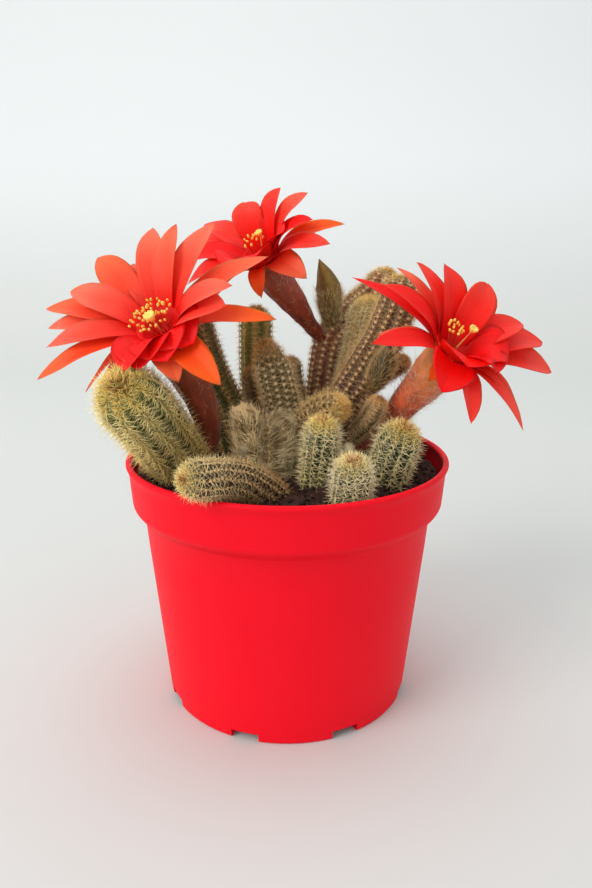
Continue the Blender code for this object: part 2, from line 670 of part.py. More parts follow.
def build_soil():
    """Fills the pot to a lumpy top, with a plain round hole for each stem."""
    side = Vector((1, 0, 0))
    front = Vector((0, 1, 0))
    corner = math.cos(math.pi / POT_SIDES)
    levels = [
        (POT_BASE + GAP, POT_FOOT_R - NOTCH_DEPTH - POT_WALL),
        (NOTCH_HEIGHT + 1, inner_radius(NOTCH_HEIGHT + 1)),
        (POT_NECK_Z - 1, inner_radius(POT_NECK_Z - 1)),
        (POT_SHOULDER_TOP_Z + 0.5, inner_radius(POT_SHOULDER_TOP_Z)),
        (SOIL_Z - 0.4, inner_radius(SOIL_Z)),
        (SOIL_Z, 0.72 * inner_radius(SOIL_Z)),
        (SOIL_Z, 0.4 * inner_radius(SOIL_Z)),
    ]
    rings = []
    for height, radius in levels:
        ring = ring_of_points(Vector((0, 0, height)), side, front, [radius * corner - SOIL_CLEAR] * SOIL_SIDES)
        if height > POT_SHOULDER_TOP_Z + 1:
            for point in ring:
                point.z += soil_lump(point.x, point.y)
        rings.append(ring)
    bm = bmesh.new()
    loft(bm, rings, tip=Vector((0, 0, SOIL_Z + soil_lump(0, 0))))
    soil = add_object("soil", bm, make_material("soil", (0.03, 0.012, 0.008), 0.95), 20)
    holes = []
    for name, stem in STEMS.items():
        stations = [min(depth / stem.path.length, HOLE_END) for depth in HOLE_DEPTHS]
        flats = (stem.width(0.0) + HOLE_CLEAR) / math.cos(math.pi / HOLE_SIDES)
        rings, _ = stem.rings(extra=flats - stem.width(0.0), sides=HOLE_SIDES, stations=stations)
        sink = GAP * stem.path.direction(0.0)
        rings[0] = [point - sink for point in rings[0]]
        hole = bmesh.new()
        loft(hole, rings)
        holes.append(add_object("hole_" + name, hole, None))
    apply_boolean(soil, holes, "DIFFERENCE")
    return soil


clear_scene()
build_pot()
build_soil()
stem_green = make_material("stem", (0.14, 0.16, 0.06), 0.8)
bud_olive = make_material("bud", (0.13, 0.11, 0.04), 0.8)
tube_brown = make_material("tube", (0.2, 0.04, 0.02), 0.5)
petal_red = make_material("petals", (0.9, 0.04, 0.015), 0.4)
stamen_yellow = make_material("stamens", (0.85, 0.55, 0.08), 0.6)
spots_of = {}
for stem_name, stem in STEMS.items():
    stem_object, spots_of[stem_name] = stem.solid(stem_name, stem_green)
for bud_name, bud in BUDS.items():
    bud_object, spots_of[bud_name] = bud.solid(bud_name, bud_olive)
    trim_to_seat(bud_object, bud.seat)
for flower_name, flower in FLOWERS.items():
    tube_name = flower_name + "_tube"
    tube_object, spots_of[tube_name] = flower.tube(tube_name, tube_brown)
    trim_to_seat(tube_object, flower.seat)
    flower.corolla(flower_name + "_petals", petal_red)
    flower.stamens(flower_name + "_stamens", stamen_yellow)
surroundings = Surroundings(list(bpy.context.scene.objects))
for piece_name, spots in spots_of.items():
    piece = bpy.data.objects[piece_name]
    if piece_name in STEMS:
        length = WOOLLY_LENGTH if STEMS[piece_name].woolly else SPINE_LENGTH
        add_spines(piece, spots, length, surroundings)
    else:
        add_spines(piece, spots, HAIR_LENGTH, surroundings, lean=HAIR_LEAN)
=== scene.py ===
"""Looks of a potted peanut cactus: fine stems, spines, flowers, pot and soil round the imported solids.

Blender 4.5. Lengths are in millimetres and become metres through MM; colours are given as sRGB values
from 0 to 255. -Y is the front, +X is the right and +Z is up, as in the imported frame.
"""

import math

import bpy
import numpy as np
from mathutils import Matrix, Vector


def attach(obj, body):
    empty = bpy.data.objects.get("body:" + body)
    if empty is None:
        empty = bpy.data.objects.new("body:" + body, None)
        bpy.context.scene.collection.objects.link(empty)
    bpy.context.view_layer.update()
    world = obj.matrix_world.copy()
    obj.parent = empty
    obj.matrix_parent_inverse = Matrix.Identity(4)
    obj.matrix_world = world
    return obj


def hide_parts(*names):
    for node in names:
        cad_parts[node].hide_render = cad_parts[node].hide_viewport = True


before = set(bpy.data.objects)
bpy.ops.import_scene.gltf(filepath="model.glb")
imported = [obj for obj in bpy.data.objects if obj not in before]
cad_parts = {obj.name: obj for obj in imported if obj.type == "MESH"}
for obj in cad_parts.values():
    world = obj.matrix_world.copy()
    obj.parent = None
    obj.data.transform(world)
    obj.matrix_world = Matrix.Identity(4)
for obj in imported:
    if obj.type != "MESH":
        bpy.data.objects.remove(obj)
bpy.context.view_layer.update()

MM = 0.001
TURN = 2 * math.pi
GOLDEN = 0.381966
DOME_SIDES = 5
rng = np.random.default_rng(11)


# Colours, random numbers and directions


def linear(colour):
    """sRGB 0 to 255 as linear light 0 to 1."""
    value = np.asarray(colour, float) / 255.0
    return np.where(value <= 0.04045, value / 12.92, ((value + 0.055) / 1.055) ** 2.4)


def mixed(a, b, share):
    return a * (1 - share) + b * share


def blend(colours, share):
    """Linear light through evenly spaced sRGB colours, for a share or an array of shares."""
    knots = np.linspace(0, 1, len(colours))
    return np.stack([np.interp(share, knots, channel) for channel in linear(colours).T], -1)


def unit(v):
    return v / np.maximum(np.linalg.norm(v, axis=-1, keepdims=True), 1e-12)


def smoothstep(low, high, x):
    t = np.clip((np.asarray(x, float) - low) / (high - low), 0, 1)
    return t * t * (3 - 2 * t)


def jitter(*shape):
    """Random numbers from -1 to 1."""
    return rng.uniform(-1, 1, shape)


def turns(columns):
    """Evenly spaced angles, once round."""
    return np.arange(columns) * TURN / columns


def grid(values, columns):
    """Each value with each of the evenly spaced angles, as two arrays."""
    return np.meshgrid(values, turns(columns), indexing="ij")


def round_about(angle, side, front):
    """Directions at an array of angles, from the side towards the front."""
    return np.cos(angle)[..., None] * side + np.sin(angle)[..., None] * front


def spokes(direction, sides):
    """Evenly spaced directions round each of the given ones and square to it."""
    helper = np.where(np.abs(direction[:, 2:]) > 0.9, [[1.0, 0, 0]], [[0, 0, 1.0]])
    side = unit(np.cross(direction, helper))
    front = np.cross(direction, side)
    return [math.cos(angle) * side + math.sin(angle) * front for angle in turns(sides)]


def turned(radius, angle, height):
    """Points at a radius, an angle and a height round Z."""
    x, y = radius * np.cos(angle), radius * np.sin(angle)
    return np.stack([x, y, height + 0 * x], -1).reshape(-1, 3)


# Mesh pieces


def add_object(name, data):
    obj = bpy.data.objects.new(name, data)
    bpy.context.scene.collection.objects.link(obj)
    return obj


class Shape:
    """Triangles gathered from many small forms, with a colour and a place value for each point."""

    def __init__(self):
        self.points = []
        self.faces = []
        self.tints = []
        self.places = []
        self.count = 0

    def add(self, points, faces, tint, place=None):
        points = np.asarray(points, float).reshape(-1, 3)
        tint = np.broadcast_to(np.asarray(tint, float).reshape(-1, 3), points.shape)
        self.points.append(points)
        self.faces.append(np.asarray(faces, np.int64).reshape(-1, 3) + self.count)
        self.tints.append(tint)
        self.places.append(np.zeros_like(points) if place is None else place)
        self.count += len(points)

    def piece(self, name, material, slot, replaces=()):
        mesh = bpy.data.meshes.new(name)
        points = np.concatenate(self.points) * MM
        mesh.from_pydata(points, [], np.concatenate(self.faces), shade_flat=False)
        for label, values in (("tint", self.tints), ("place", self.places)):
            attribute = mesh.color_attributes.new(label, "FLOAT_COLOR", "POINT")
            rgba = np.ones((len(points), 4), np.float32)
            rgba[:, :3] = np.concatenate(values)
            attribute.data.foreach_set("color", rgba.ravel())
        mesh.materials.append(material)
        obj = add_object(name, mesh)
        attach(obj, "root")
        if replaces:
            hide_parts(*replaces)
        return obj


def skin(rows, columns, tip=False, base=False):
    """Triangles over rings of points laid row by row, with a last point as tip or base where given."""
    start = np.arange(rows - 1)[:, None] * columns
    column = np.arange(columns)
    after = (column + 1) % columns
    a, b = start + column, start + after
    d, e = a + columns, b + columns
    faces = [np.stack([a, b, e], -1).reshape(-1, 3), np.stack([a, e, d], -1).reshape(-1, 3)]
    end = (rows - 1) * columns
    extra = rows * columns
    if tip:
        faces.append(np.stack([end + column, end + after, np.full(columns, extra)], -1))
        extra += 1
    if base:
        faces.append(np.stack([after, column, np.full(columns, extra)], -1))
    return np.concatenate(faces)


def add_copies(shape, points, faces, tints):
    """Add like forms: points and tints hold an array of all forms for each point of one form."""
    count = len(points[0])
    starts = np.arange(count) * len(points)
    tints = [np.broadcast_to(tint, (count, 3)) for tint in tints]
    shape.add(np.stack(points, 1), starts[:, None, None] + faces, np.stack(tints, 1))


def spikes(shape, base, direction, length, bend, radius, root_tint, tip_tint, segments=1):
    """Slim three-sided spines or hairs: each starts at its base and curves by its bend towards the tip."""
    direction = unit(direction)
    length, radius = np.reshape(length, (-1, 1)), np.reshape(radius, (-1, 1))
    points, tints = [], []
    for step in range(segments):
        t = step / segments
        centre = base + direction * length * t + bend * t * t
        girth = radius * (1 - 0.8 * t)
        for out in spokes(direction, 3):
            points.append(centre + girth * out)
            tints.append(mixed(root_tint, tip_tint, t))
    points.append(base + direction * length + bend)
    tints.append(tip_tint)
    foot = [(2, 1, 0)]
    add_copies(shape, points, np.vstack([skin(segments, 3, tip=True), foot]), tints)


def domes(shape, centre, normal, radius, height, tint):
    """Small cushions standing on a surface, such as an areole's wool."""
    normal = unit(normal)
    radius, height = radius[:, None], height[:, None]
    points = []
    for share, lift in ((1.0, -0.15), (0.72, 0.68)):
        for out in spokes(normal, DOME_SIDES):
            points.append(centre + share * radius * out + lift * height * normal)
    points.append(centre + height * normal)
    add_copies(shape, points, skin(2, DOME_SIDES, tip=True), [tint] * len(points))


def bead(shape, centre, length_way, side_way, half_length, half_width, tint, *form):
    """A closed ellipsoid that lies along a direction, with one side square to another direction."""
    side = unit(np.cross(length_way, side_way))
    axes = [half_width * side, half_width * np.cross(length_way, side), half_length * length_way]
    lump(shape, centre, axes, tint, *form)


def lump(shape, centre, axes, tint, rows, columns, wobble):
    """A closed ellipsoid: axes holds its three half axes as rows."""
    polar = np.linspace(0, math.pi, rows + 1)[1:-1, None]
    across, level = np.sin(polar), np.cos(polar)
    points = np.vstack([turned(across, turns(columns), level), [[0, 0, -1]], [[0, 0, 1]]])
    points *= 1 + wobble * jitter(len(points), 1)
    faces = skin(rows - 1, columns, tip=True, base=True)
    shape.add(np.asarray(centre) + points @ np.asarray(axes, float), faces[:, ::-1], tint)


# Lines and stems

FRAME_REACH = 0.04  # how far before and after a place its direction is read, as shares of the line
FRAME_BACK = (0.15, 1.0, 0.1)


class Line:
    """A smooth line through chosen points, with a frame that doesn't twist along it."""

    def __init__(self, points, steps=24):
        knots = np.asarray(points, float)
        knots = np.vstack([2 * knots[0] - knots[1], knots, 2 * knots[-1] - knots[-2]])
        t = (np.arange(steps) / steps)[:, None]
        runs = []
        for a, b, c, d in zip(knots, knots[1:], knots[2:], knots[3:]):
            runs.append(0.5 * (2 * b + (c - a) * t + (2 * a - 5 * b + 4 * c - d) * t**2
                               + (3 * b - a - 3 * c + d) * t**3))
        self.points = np.vstack([*runs, knots[-2:-1]])
        self.run = np.append(0, np.cumsum(np.linalg.norm(np.diff(self.points, axis=0), axis=1)))
        self.length = self.run[-1]

    def at(self, fraction):
        place = np.clip(fraction, 0, 1) * self.length
        return np.stack([np.interp(place, self.run, self.points[:, k]) for k in range(3)], -1)

    def around(self, fraction, angle, radius):
        """(place, outward, along) at fractions of the length, and at angles and radii round it."""
        along = unit(self.at(fraction + FRAME_REACH) - self.at(fraction - FRAME_REACH))
        side = unit(np.cross(along, FRAME_BACK))
        outward = round_about(angle, side, np.cross(along, side))
        return self.at(fraction) + radius[..., None] * outward, outward, along


WARMTH = np.array([1.14, 1.0, 0.7])  # skin is warmer than its pale tints
STRAW = np.array([1.06, 0.92, 0.66])  # and so are spines and wool
RIB_DEPTH = 0.17
RIB_TWIST = 0.35
RIB_COLUMNS = 6
KNOB = 0.04
UNEVEN = 0.012
ROW_STEP = 0.9
CROWN_ROWS_DEG = np.arange(6, 90, 9)
CROWN_AREOLES_DEG = np.array([24, 38, 50, 61, 71, 80])
CROWN_STAGGER_DEG = 4
FAN = 0.55  # how far a star of spines spreads along the rib, for each part across it
SOIL_Z = 76.5
BALL_PALE = (206, 190, 150)
BALL_FUZZ = (222, 204, 164)
BALL_HAIRS = 160


def over_crown(rise, outward, along):
    """The skin's normals, and its directions towards the tip, at a rise up the crown."""
    tilt = np.arcsin(rise)[:, None]
    normal = unit(np.cos(tilt) * outward + np.sin(tilt) * along)
    return normal, unit(np.cos(tilt) * along - np.sin(tilt) * outward)


class Finger:
    """A ribbed finger stem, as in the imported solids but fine: body, areoles and spines."""

    def __init__(self, points, radius, ribs, look, foot=0.9, crown=1.0, branches=(), balls=()):
        self.line = Line(points)
        self.radius = radius
        self.crown = crown * radius
        self.ribs = ribs
        self.look = look
        self.foot = foot
        self.branches = branches
        self.balls = balls

    def width(self, fraction):
        left = (1 - fraction) * self.line.length
        body = self.radius * (self.foot + (1 - self.foot) * np.minimum(fraction / 0.5, 1))
        cap = np.sqrt(np.clip(1 - (1 - left / self.crown) ** 2, 0, 1))
        return np.where(left >= self.crown, body, body * cap)

    def at_crown(self, angle_deg):
        """The fraction of the length at an angle up the crown, from 0 at its edge to 90 at the tip."""
        return 1 - (1 - np.sin(np.radians(angle_deg))) * self.crown / self.line.length

    def rise(self, fraction):
        """How far up the crown a fraction of the length lies, from 0 at its edge to 1 at the tip."""
        return np.clip(1 - (1 - fraction) * self.line.length / self.crown, 0, 1)

    def surface(self, fraction, angle):
        """(place, outward, along, crest) for arrays of fractions and of angles round the stem."""
        run = fraction * self.line.length
        crest = 0.5 + 0.5 * np.cos(self.ribs * angle)
        width = self.width(fraction)
        rib = np.round(angle * self.ribs / TURN)
        phase = run / self.look["spacing"] + 0.5 * (rib % 2)
        knob = KNOB * crest**3 * (0.5 + 0.5 * np.cos(TURN * phase))
        uneven = UNEVEN * np.sin(3 * angle + fraction * 9 + self.radius) * np.sin(fraction * 17 + angle)
        share = np.minimum(width / self.radius, 1) ** 1.3
        depth = self.look["ribs"] * RIB_DEPTH * share
        radius = width * (1 - depth * (1 - crest) + knob + uneven)
        return *self.line.around(fraction, angle + RIB_TWIST * run / 100, radius), crest

    def body(self, shape):
        look = self.look
        body_end = 1 - self.crown / self.line.length
        rows = max(8, int(body_end * self.line.length / ROW_STEP))
        fraction = np.append(np.linspace(0, body_end, rows), self.at_crown(CROWN_ROWS_DEG))
        columns = self.ribs * RIB_COLUMNS
        f, a = grid(fraction, columns)
        place, _, _, crest = self.surface(f, a)
        tint = blend(look["body"], smoothstep(0.2, 1.0, f))
        # painted shade: the skin is darker down in the grooves between the ribs than on the crests
        tint = tint * WARMTH * (0.48 + 0.52 * crest[..., None] ** 0.7)
        crown = 0.4 * smoothstep(0.35, 1.0, self.rise(f))[..., None]
        tint = mixed(tint, 0.5 * linear(look["crown"][0]), crown)
        points = np.vstack([place.reshape(-1, 3), self.line.at(1.0)])
        tint = np.vstack([tint.reshape(-1, 3), linear(look["crown"][1])])
        shape.add(points, skin(len(fraction), columns, tip=True), tint)

    def areoles(self):
        """Fractions and angles of the areoles, in step with the knobs on the ribs."""
        spacing = self.look["spacing"] / self.line.length
        crown_start = 1 - 0.68 * self.crown / self.line.length
        fractions, angles = [], []
        for rib in range(self.ribs):
            odd = rib % 2
            body = np.arange(0.5 * odd * spacing, crown_start, spacing)
            caps = self.at_crown(CROWN_AREOLES_DEG + CROWN_STAGGER_DEG * odd)
            fractions += [body, caps]
            angles.append(np.full(len(body) + len(caps), TURN * rib / self.ribs))
        return np.concatenate(fractions), np.concatenate(angles)

    def spines(self, shape):
        """A woolly cushion with a star of spines at each areole, denser and golden on the crown."""
        look = self.look
        fraction, angle = self.areoles()
        place, outward, along, _ = self.surface(fraction, angle)
        keep = place[:, 2] > SOIL_Z - 1
        fraction, place, outward, along = fraction[keep], place[keep], outward[keep], along[keep]
        rise = self.rise(fraction)
        normal, tangent = over_crown(rise, outward, along)
        side = np.cross(normal, tangent)
        place = place + 0.14 * jitter(len(place), 1) * side
        golden = smoothstep(0.3, 0.85, rise)
        pad = look["pad"] * (1 - 0.55 * golden)
        light = rng.uniform(0.8, 1.1, (len(place), 1))
        wool = blend((look["areole"], look["crown"][0]), golden) * light
        domes(shape, place - 0.08 * normal, normal, pad, 0.5 * pad, wool)
        number = look["count"]
        n = len(place) * number
        index = np.repeat(np.arange(len(place)), number)
        order = np.tile(np.arange(number), len(place))
        gold = golden[index]
        round_angle = TURN * (order + rng.uniform(0, 1, n)) / number
        upward = FAN * np.sin(round_angle) + look["lean"] * (1 - 2.2 * gold)
        flat = unit(np.cos(round_angle)[:, None] * side[index] + upward[:, None] * tangent[index])
        central = order % look["central"] == 0
        steep = np.where(central, rng.uniform(0.8, 1.4, n), rng.uniform(0.0, 0.5, n))
        steep = np.maximum(steep, gold * rng.uniform(0.15, 1.15, n))[:, None]
        direction = np.cos(steep) * flat + np.sin(steep) * normal[index]
        length = look["length"] * rng.uniform(0.65, 1.15, n) * (1 - 0.2 * gold)
        bend = (look["curl"] * length * jitter(n))[:, None] * (flat - 0.5 * normal[index])
        start = place[index] + 0.4 * pad[index][:, None] * flat + 0.15 * normal[index]
        tint = blend(look["spine"], smoothstep(0.3, 1.0, fraction)[index])
        tint = mixed(tint, linear(look["crown"][0]), gold[:, None])
        brown = smoothstep(0.93, 1.0, rise[index] + rng.uniform(-0.08, 0.04, n))[:, None]
        tint = mixed(tint, linear(look["crown"][1]), brown)
        tint = tint * STRAW * rng.uniform(0.8, 1.35, (n, 1))
        radius = look["thick"] * rng.uniform(0.8, 1.2, n)
        spikes(shape, start, direction, length, bend, radius, tint * 0.85, tint * 1.15, look["segments"])

    def build(self, name):
        skins, spines = Shape(), Shape()
        for stem in (self, *self.branches):
            stem.body(skins)
            stem.spines(spines)
        for centre, radius in self.balls:
            lump(skins, centre, np.eye(3) * radius, linear(BALL_PALE), 9, 14, 0.02)
            add_fuzz(spines, centre, radius)
        skins.piece("body_" + name, SKIN, "stem", [name])
        spines.piece("spines_" + name, SPINE, "stem")


def add_fuzz(shape, centre, radius):
    """Short hairs all over a young ball."""
    out = unit(rng.normal(size=(BALL_HAIRS, 3)))
    tint = linear(BALL_FUZZ) * rng.uniform(0.8, 1.1, (BALL_HAIRS, 1))
    direction = out + 0.8 * unit(rng.normal(size=(BALL_HAIRS, 3)))
    spikes(shape, centre + radius * out, direction, 0.8, 0.1 * out, 0.07, tint, tint)


USUAL = dict(areole=(206, 176, 128), length=3.2, count=22, spacing=1.7, lean=0.15, curl=0.05, central=7,
             pad=0.5, thick=0.1, segments=1, ribs=0.75)


def look(body, spine, crown, **changes):
    """A stem's looks: body and spine colours at foot and top, crown colours at its edge and its centre.

    At each areole stand count spines of a length and a thickness, of which each central-th is steep. The
    pad is the cushion's radius, and lean turns the whole star towards the tip.
    """
    return dict(USUAL, body=body, spine=spine, crown=crown, **changes)


LEFT = look(
    ((58, 68, 20), (80, 98, 28)), ((252, 236, 174), (255, 252, 206)), ((255, 240, 160), (150, 94, 38)),
    areole=(226, 202, 138), length=4.8, count=20, spacing=1.8, lean=0.3, central=5, segments=2, ribs=1.2,
    curl=0.12)
RIM = look(
    ((56, 32, 26), (78, 54, 34)), ((210, 178, 134), (250, 240, 204)), ((252, 240, 182), (172, 106, 38)),
    areole=(236, 204, 150), length=2.6, count=8, spacing=1.5, central=4, thick=0.085, segments=2, ribs=1.2,
    curl=0.1)
MIDDLE = look(
    ((86, 84, 34), (102, 86, 42)), ((255, 240, 206), (255, 244, 212)), ((226, 188, 128), (130, 84, 42)),
    areole=(255, 238, 198), length=3.3, count=14, spacing=2.1, central=3, pad=0.64, thick=0.062, segments=2,
    ribs=1.25, curl=0.12)
TURNED = look(
    ((90, 62, 46), (116, 88, 52)), ((250, 234, 200), (252, 232, 178)), ((255, 232, 166), (190, 128, 56)),
    areole=(250, 232, 194), length=3.3, count=13, central=4, thick=0.08, segments=2, ribs=1.1, curl=0.1)
FRONT = look(
    ((34, 54, 14), (50, 72, 18)), ((255, 252, 212), (255, 255, 236)), ((255, 242, 176), (160, 84, 28)),
    areole=(252, 238, 180), length=3.3, count=10, spacing=1.9, central=4, thick=0.105, segments=2, ribs=1.2,
    curl=0.1)
FRONT_PALE = look(
    ((38, 62, 18), (54, 84, 24)), ((255, 255, 226), (255, 255, 246)), ((255, 250, 206), (172, 94, 32)),
    areole=(252, 246, 200), count=11, spacing=1.8, central=4, thick=0.105, segments=2, ribs=1.2, curl=0.1)
TALL = look(
    ((80, 44, 28), (104, 72, 38)), ((238, 206, 160), (246, 222, 176)), ((244, 216, 146), (184, 140, 70)),
    areole=(242, 212, 164), length=2.9, count=11, spacing=1.95, central=4, pad=0.56, thick=0.068, ribs=1.2)
PALE = look(
    ((138, 108, 58), (164, 134, 74)), ((255, 248, 222), (255, 252, 220)), ((255, 236, 166), (216, 160, 66)),
    areole=(255, 242, 206), count=20, central=4, ribs=1.1)
PURPLE = look(
    ((140, 86, 70), (156, 104, 74)), ((255, 236, 200), (255, 236, 190)), ((252, 226, 156), (200, 146, 72)),
    areole=(255, 234, 196), length=2.4, count=11, spacing=1.95, central=4, pad=0.6, thick=0.082, ribs=1.15)
OLIVE = look(
    ((76, 92, 26), (90, 88, 34)), ((218, 192, 140), (214, 182, 132)), ((194, 150, 92), (120, 80, 44)),
    areole=(218, 186, 134), length=2.8, count=12, spacing=1.9, thick=0.095)
OLIVE_FAR = look(
    ((114, 128, 46), (132, 140, 58)), ((238, 220, 168), (246, 226, 176)), ((222, 186, 122), (146, 100, 52)),
    areole=(234, 212, 160), length=2.8, count=12, spacing=1.9)
DULL = look(
    ((84, 68, 34), (106, 86, 46)), ((224, 198, 150), (230, 202, 154)), ((216, 178, 118), (134, 92, 50)),
    length=2.6, count=12, spacing=1.9)
FUZZY = look(
    ((104, 74, 52), (118, 86, 58)), ((232, 212, 180), (236, 216, 186)), ((230, 200, 150), (156, 112, 70)),
    length=2.5, count=20, spacing=1.3, curl=0.5, thick=0.08, segments=3)
WOOLLY = look(
    ((128, 110, 74), (138, 120, 82)), ((240, 226, 196), (246, 232, 200)), ((216, 196, 154), (160, 138, 100)),
    length=2.6, count=5, spacing=2.0, curl=0.6, thick=0.07, segments=3)

FINGERS = {
    "stem_left": Finger(
        [(-31, -8, 65), (-33, -10, 79), (-39, -17.8, 93), (-44, -29.5, 105.2), (-45.9, -35.7, 110.8)],
        8.8, 9, LEFT),
    "stem_over_rim": Finger(
        [(-2, -23, 65), (-4.3, -27, 75), (-10.5, -35, 82.6), (-16.5, -41.3, 85.9), (-21.5, -46.8, 87.4),
         (-26.3, -52.3, 89.2)], 4.9, 12, RIM, foot=1.05),
    "stem_middle": Finger(
        [(0.5, 4, 65), (0, 3, 85), (-3.8, 2, 105.5), (-7.6, 1.5, 117.3)], 5.3, 12, MIDDLE, crown=2.2),
    "stem_turned": Finger(
        [(7, -7, 65), (6, -6, 83), (6, -6.5, 92.6), (11, -9, 98.2), (17.6, -13, 99.4)], 4.1, 10, TURNED),
    "stem_front": Finger(
        [(8.5, -18, 65), (9.5, -19, 81), (10.3, -20.5, 90), (10.6, -22.3, 97.6)], 4.7, 11, FRONT,
        balls=[((15.7, -20.5, 87.7), 1.8), ((18.4, -20.5, 88.7), 1.8)]),
    "stem_front_right": Finger(
        [(18, -31, 65), (18.4, -34, 77), (18.8, -36, 84.5), (18.5, -38.6, 90.2)], 5.0, 11, FRONT_PALE),
    "stem_right": Finger(
        [(28.5, -15.5, 65), (31.5, -17.5, 82), (33.5, -19.5, 90), (34.9, -22, 95.6)], 5.9, 11, FRONT),
    "stem_tall": Finger(
        [(16.5, -1, 65), (17, -1, 94), (21.4, 1, 103.1), (26.6, 3.5, 111.2), (31.1, 6, 118.7),
         (35.6, 9, 129.3), (38.3, 12, 137)], 6.3, 12, TALL,
        branches=[Finger([(20.5, -3, 88), (26, -7.6, 95), (28.6, -9.6, 101.3)], 2.8, 5, FUZZY),
                  Finger([(23, 6, 101), (30, 6, 106), (35, 4, 109.5), (38.3, 3, 111.6)], 2.7, 5, FUZZY)]),
    "stem_pale": Finger([(20, 15, 65), (22, 17.5, 98), (25, 19, 114), (28, 21, 129.6)], 5.6, 11, PALE),
    "stem_purple": Finger(
        [(10, 24, 65), (12, 24, 95), (14.5, 26, 113.5), (18.1, 29, 119.9), (23.2, 33, 124.8),
         (29.7, 35, 129.6), (33.6, 36, 133.8), (36, 36.5, 138.6)], 5.8, 11, PURPLE),
    "stem_left_back": Finger(
        [(-14, 8, 65), (-19.5, 11, 91), (-26, 12, 105), (-33.5, 13, 128)], 5.8, 9, OLIVE),
    "stem_back": Finger([(-10, 25, 65), (-11.6, 26, 100), (-11.6, 27, 126)], 5.2, 8, OLIVE_FAR),
    "stub_back_left": Finger([(-5, 14, 65), (-9, 15.5, 92), (-12, 16, 107)], 4.0, 7, DULL),
    "stub_back": Finger([(5, 13, 65), (3.5, 14.5, 90), (0.5, 15, 110)], 3.2, 6, DULL),
    "stub_right_back": Finger([(34, 7, 65), (35, 7.5, 78), (35.5, 8, 87)], 4.6, 6, DULL),
    "stub_left": Finger([(-30, 14, 65), (-32, 16, 78), (-33, 17, 86)], 5.4, 7, DULL),
    "stub_far_right": Finger([(34.5, 21, 65), (35.5, 22, 77), (36, 22, 87)], 4.8, 7, DULL),
    "stub_far_back": Finger([(2, 36, 65), (1.5, 37, 82), (1, 37.5, 97)], 5.2, 7, DULL),
    "woolly_shoot_left": Finger(
        [(-12, -6, 65), (-12, -6, 84), (-13.5, -6, 97)], 4.2, 6, WOOLLY, balls=[((-13.8, -10.2, 85.5), 1.8)]),
    "woolly_shoot_right": Finger([(-3, -9.5, 65), (-3, -10.5, 84), (-3, -10.5, 96)], 4.6, 6, WOOLLY),
}


# Materials


def fill(tree, node, inputs):
    """Give a node's inputs values, or join them to the outputs of other nodes."""
    for name, value in inputs.items():
        if isinstance(value, bpy.types.NodeSocket):
            tree.links.new(value, node.inputs[name])
        else:
            node.inputs[name].default_value = value


def shade(tree, inputs):
    fill(tree, tree.nodes["Principled BSDF"], inputs)


def add_node(tree, kind, output, inputs, **settings):
    """An output of a new node."""
    node = tree.nodes.new("ShaderNode" + kind)
    for name, value in settings.items():
        setattr(node, name, value)
    fill(tree, node, inputs)
    return node.outputs[output]


def noise(tree, scale, detail=4.0, vector=None):
    if vector is None:
        vector = add_node(tree, "TexCoord", "Object", {})
    return add_node(tree, "TexNoise", "Fac", {"Scale": scale, "Detail": detail, "Vector": vector})


def mottle(tree, grain, low, high):
    """The mesh's tint times a grey that follows the grain from low to high."""
    ends = {"From Min": 0.3, "From Max": 0.7, "To Min": low, "To Max": high}
    grey = add_node(tree, "MapRange", "Result", {**ends, "Value": grain})
    tint = add_node(tree, "Attribute", "Color", {}, attribute_name="tint")
    return add_node(tree, "Mix", "Result", {"Factor": 1.0, "A": tint, "B": grey}, data_type="RGBA",
                    blend_type="MULTIPLY")


def bump(tree, grain, strength, distance):
    inputs = {"Strength": strength, "Distance": distance * MM, "Height": grain}
    return add_node(tree, "Bump", "Normal", inputs)


def new_material(name):
    material = bpy.data.materials.new(name)
    material.use_nodes = True
    return material, material.node_tree


def tinted(name, roughness, scale, low, high, depth=0.0, sheen=0.0):
    """A surface whose colour is in the mesh, mottled by a noise that can also roughen it."""
    material, tree = new_material(name)
    grain = noise(tree, scale)
    colour = mottle(tree, grain, low, high)
    shade(tree, {"Roughness": roughness, "Sheen Weight": sheen, "Base Color": colour})
    if depth:
        shade(tree, {"Normal": bump(tree, grain, 0.6, depth)})
    return material


def petal_material():
    """Fine veins along the petal, and a little light that passes through it."""
    material, tree = new_material("petal")
    place = add_node(tree, "Attribute", "Vector", {}, attribute_name="place")
    stretched = add_node(tree, "VectorMath", "Vector", {0: place, 1: (1.2, 11.0, 40.0)}, operation="MULTIPLY")
    veins = noise(tree, 1.6, 3.0, stretched)
    shade(tree, {
        "Roughness": 0.5, "Specular IOR Level": 0.18, "Subsurface Weight": 0.3,
        "Subsurface Radius": (1.0, 0.25, 0.1), "Subsurface Scale": 1.5 * MM,
        "Base Color": mottle(tree, veins, 0.88, 1.06), "Normal": bump(tree, veins, 0.3, 0.16)})
    return material


def pot_material():
    """Satin plastic with a very fine grain."""
    material, tree = new_material("pot_plastic")
    shade(tree, {
        "Roughness": 0.5, "Specular IOR Level": 0.1,
        "Base Color": mottle(tree, noise(tree, 16.0, 3.0), 0.95, 1.04),
        "Normal": bump(tree, noise(tree, 1500.0, 2.0), 0.12, 0.06)})
    return material


SKIN = tinted("stem_skin", 0.6, 700.0, 0.72, 1.15, 0.25, sheen=0.1)
SPINE = tinted("spine", 0.5, 300.0, 0.9, 1.05)
HAIR = tinted("hair", 0.6, 300.0, 0.85, 1.05)
TUBE = tinted("tube_skin", 0.45, 420.0, 0.8, 1.12, 0.3, sheen=0.15)
SOIL = tinted("potting_soil", 0.95, 900.0, 0.5, 1.3, 0.5)
STAMEN = tinted("stamen", 0.6, 900.0, 0.85, 1.1, 0.1)
PETAL = petal_material()
POT = pot_material()


# Pot and soil

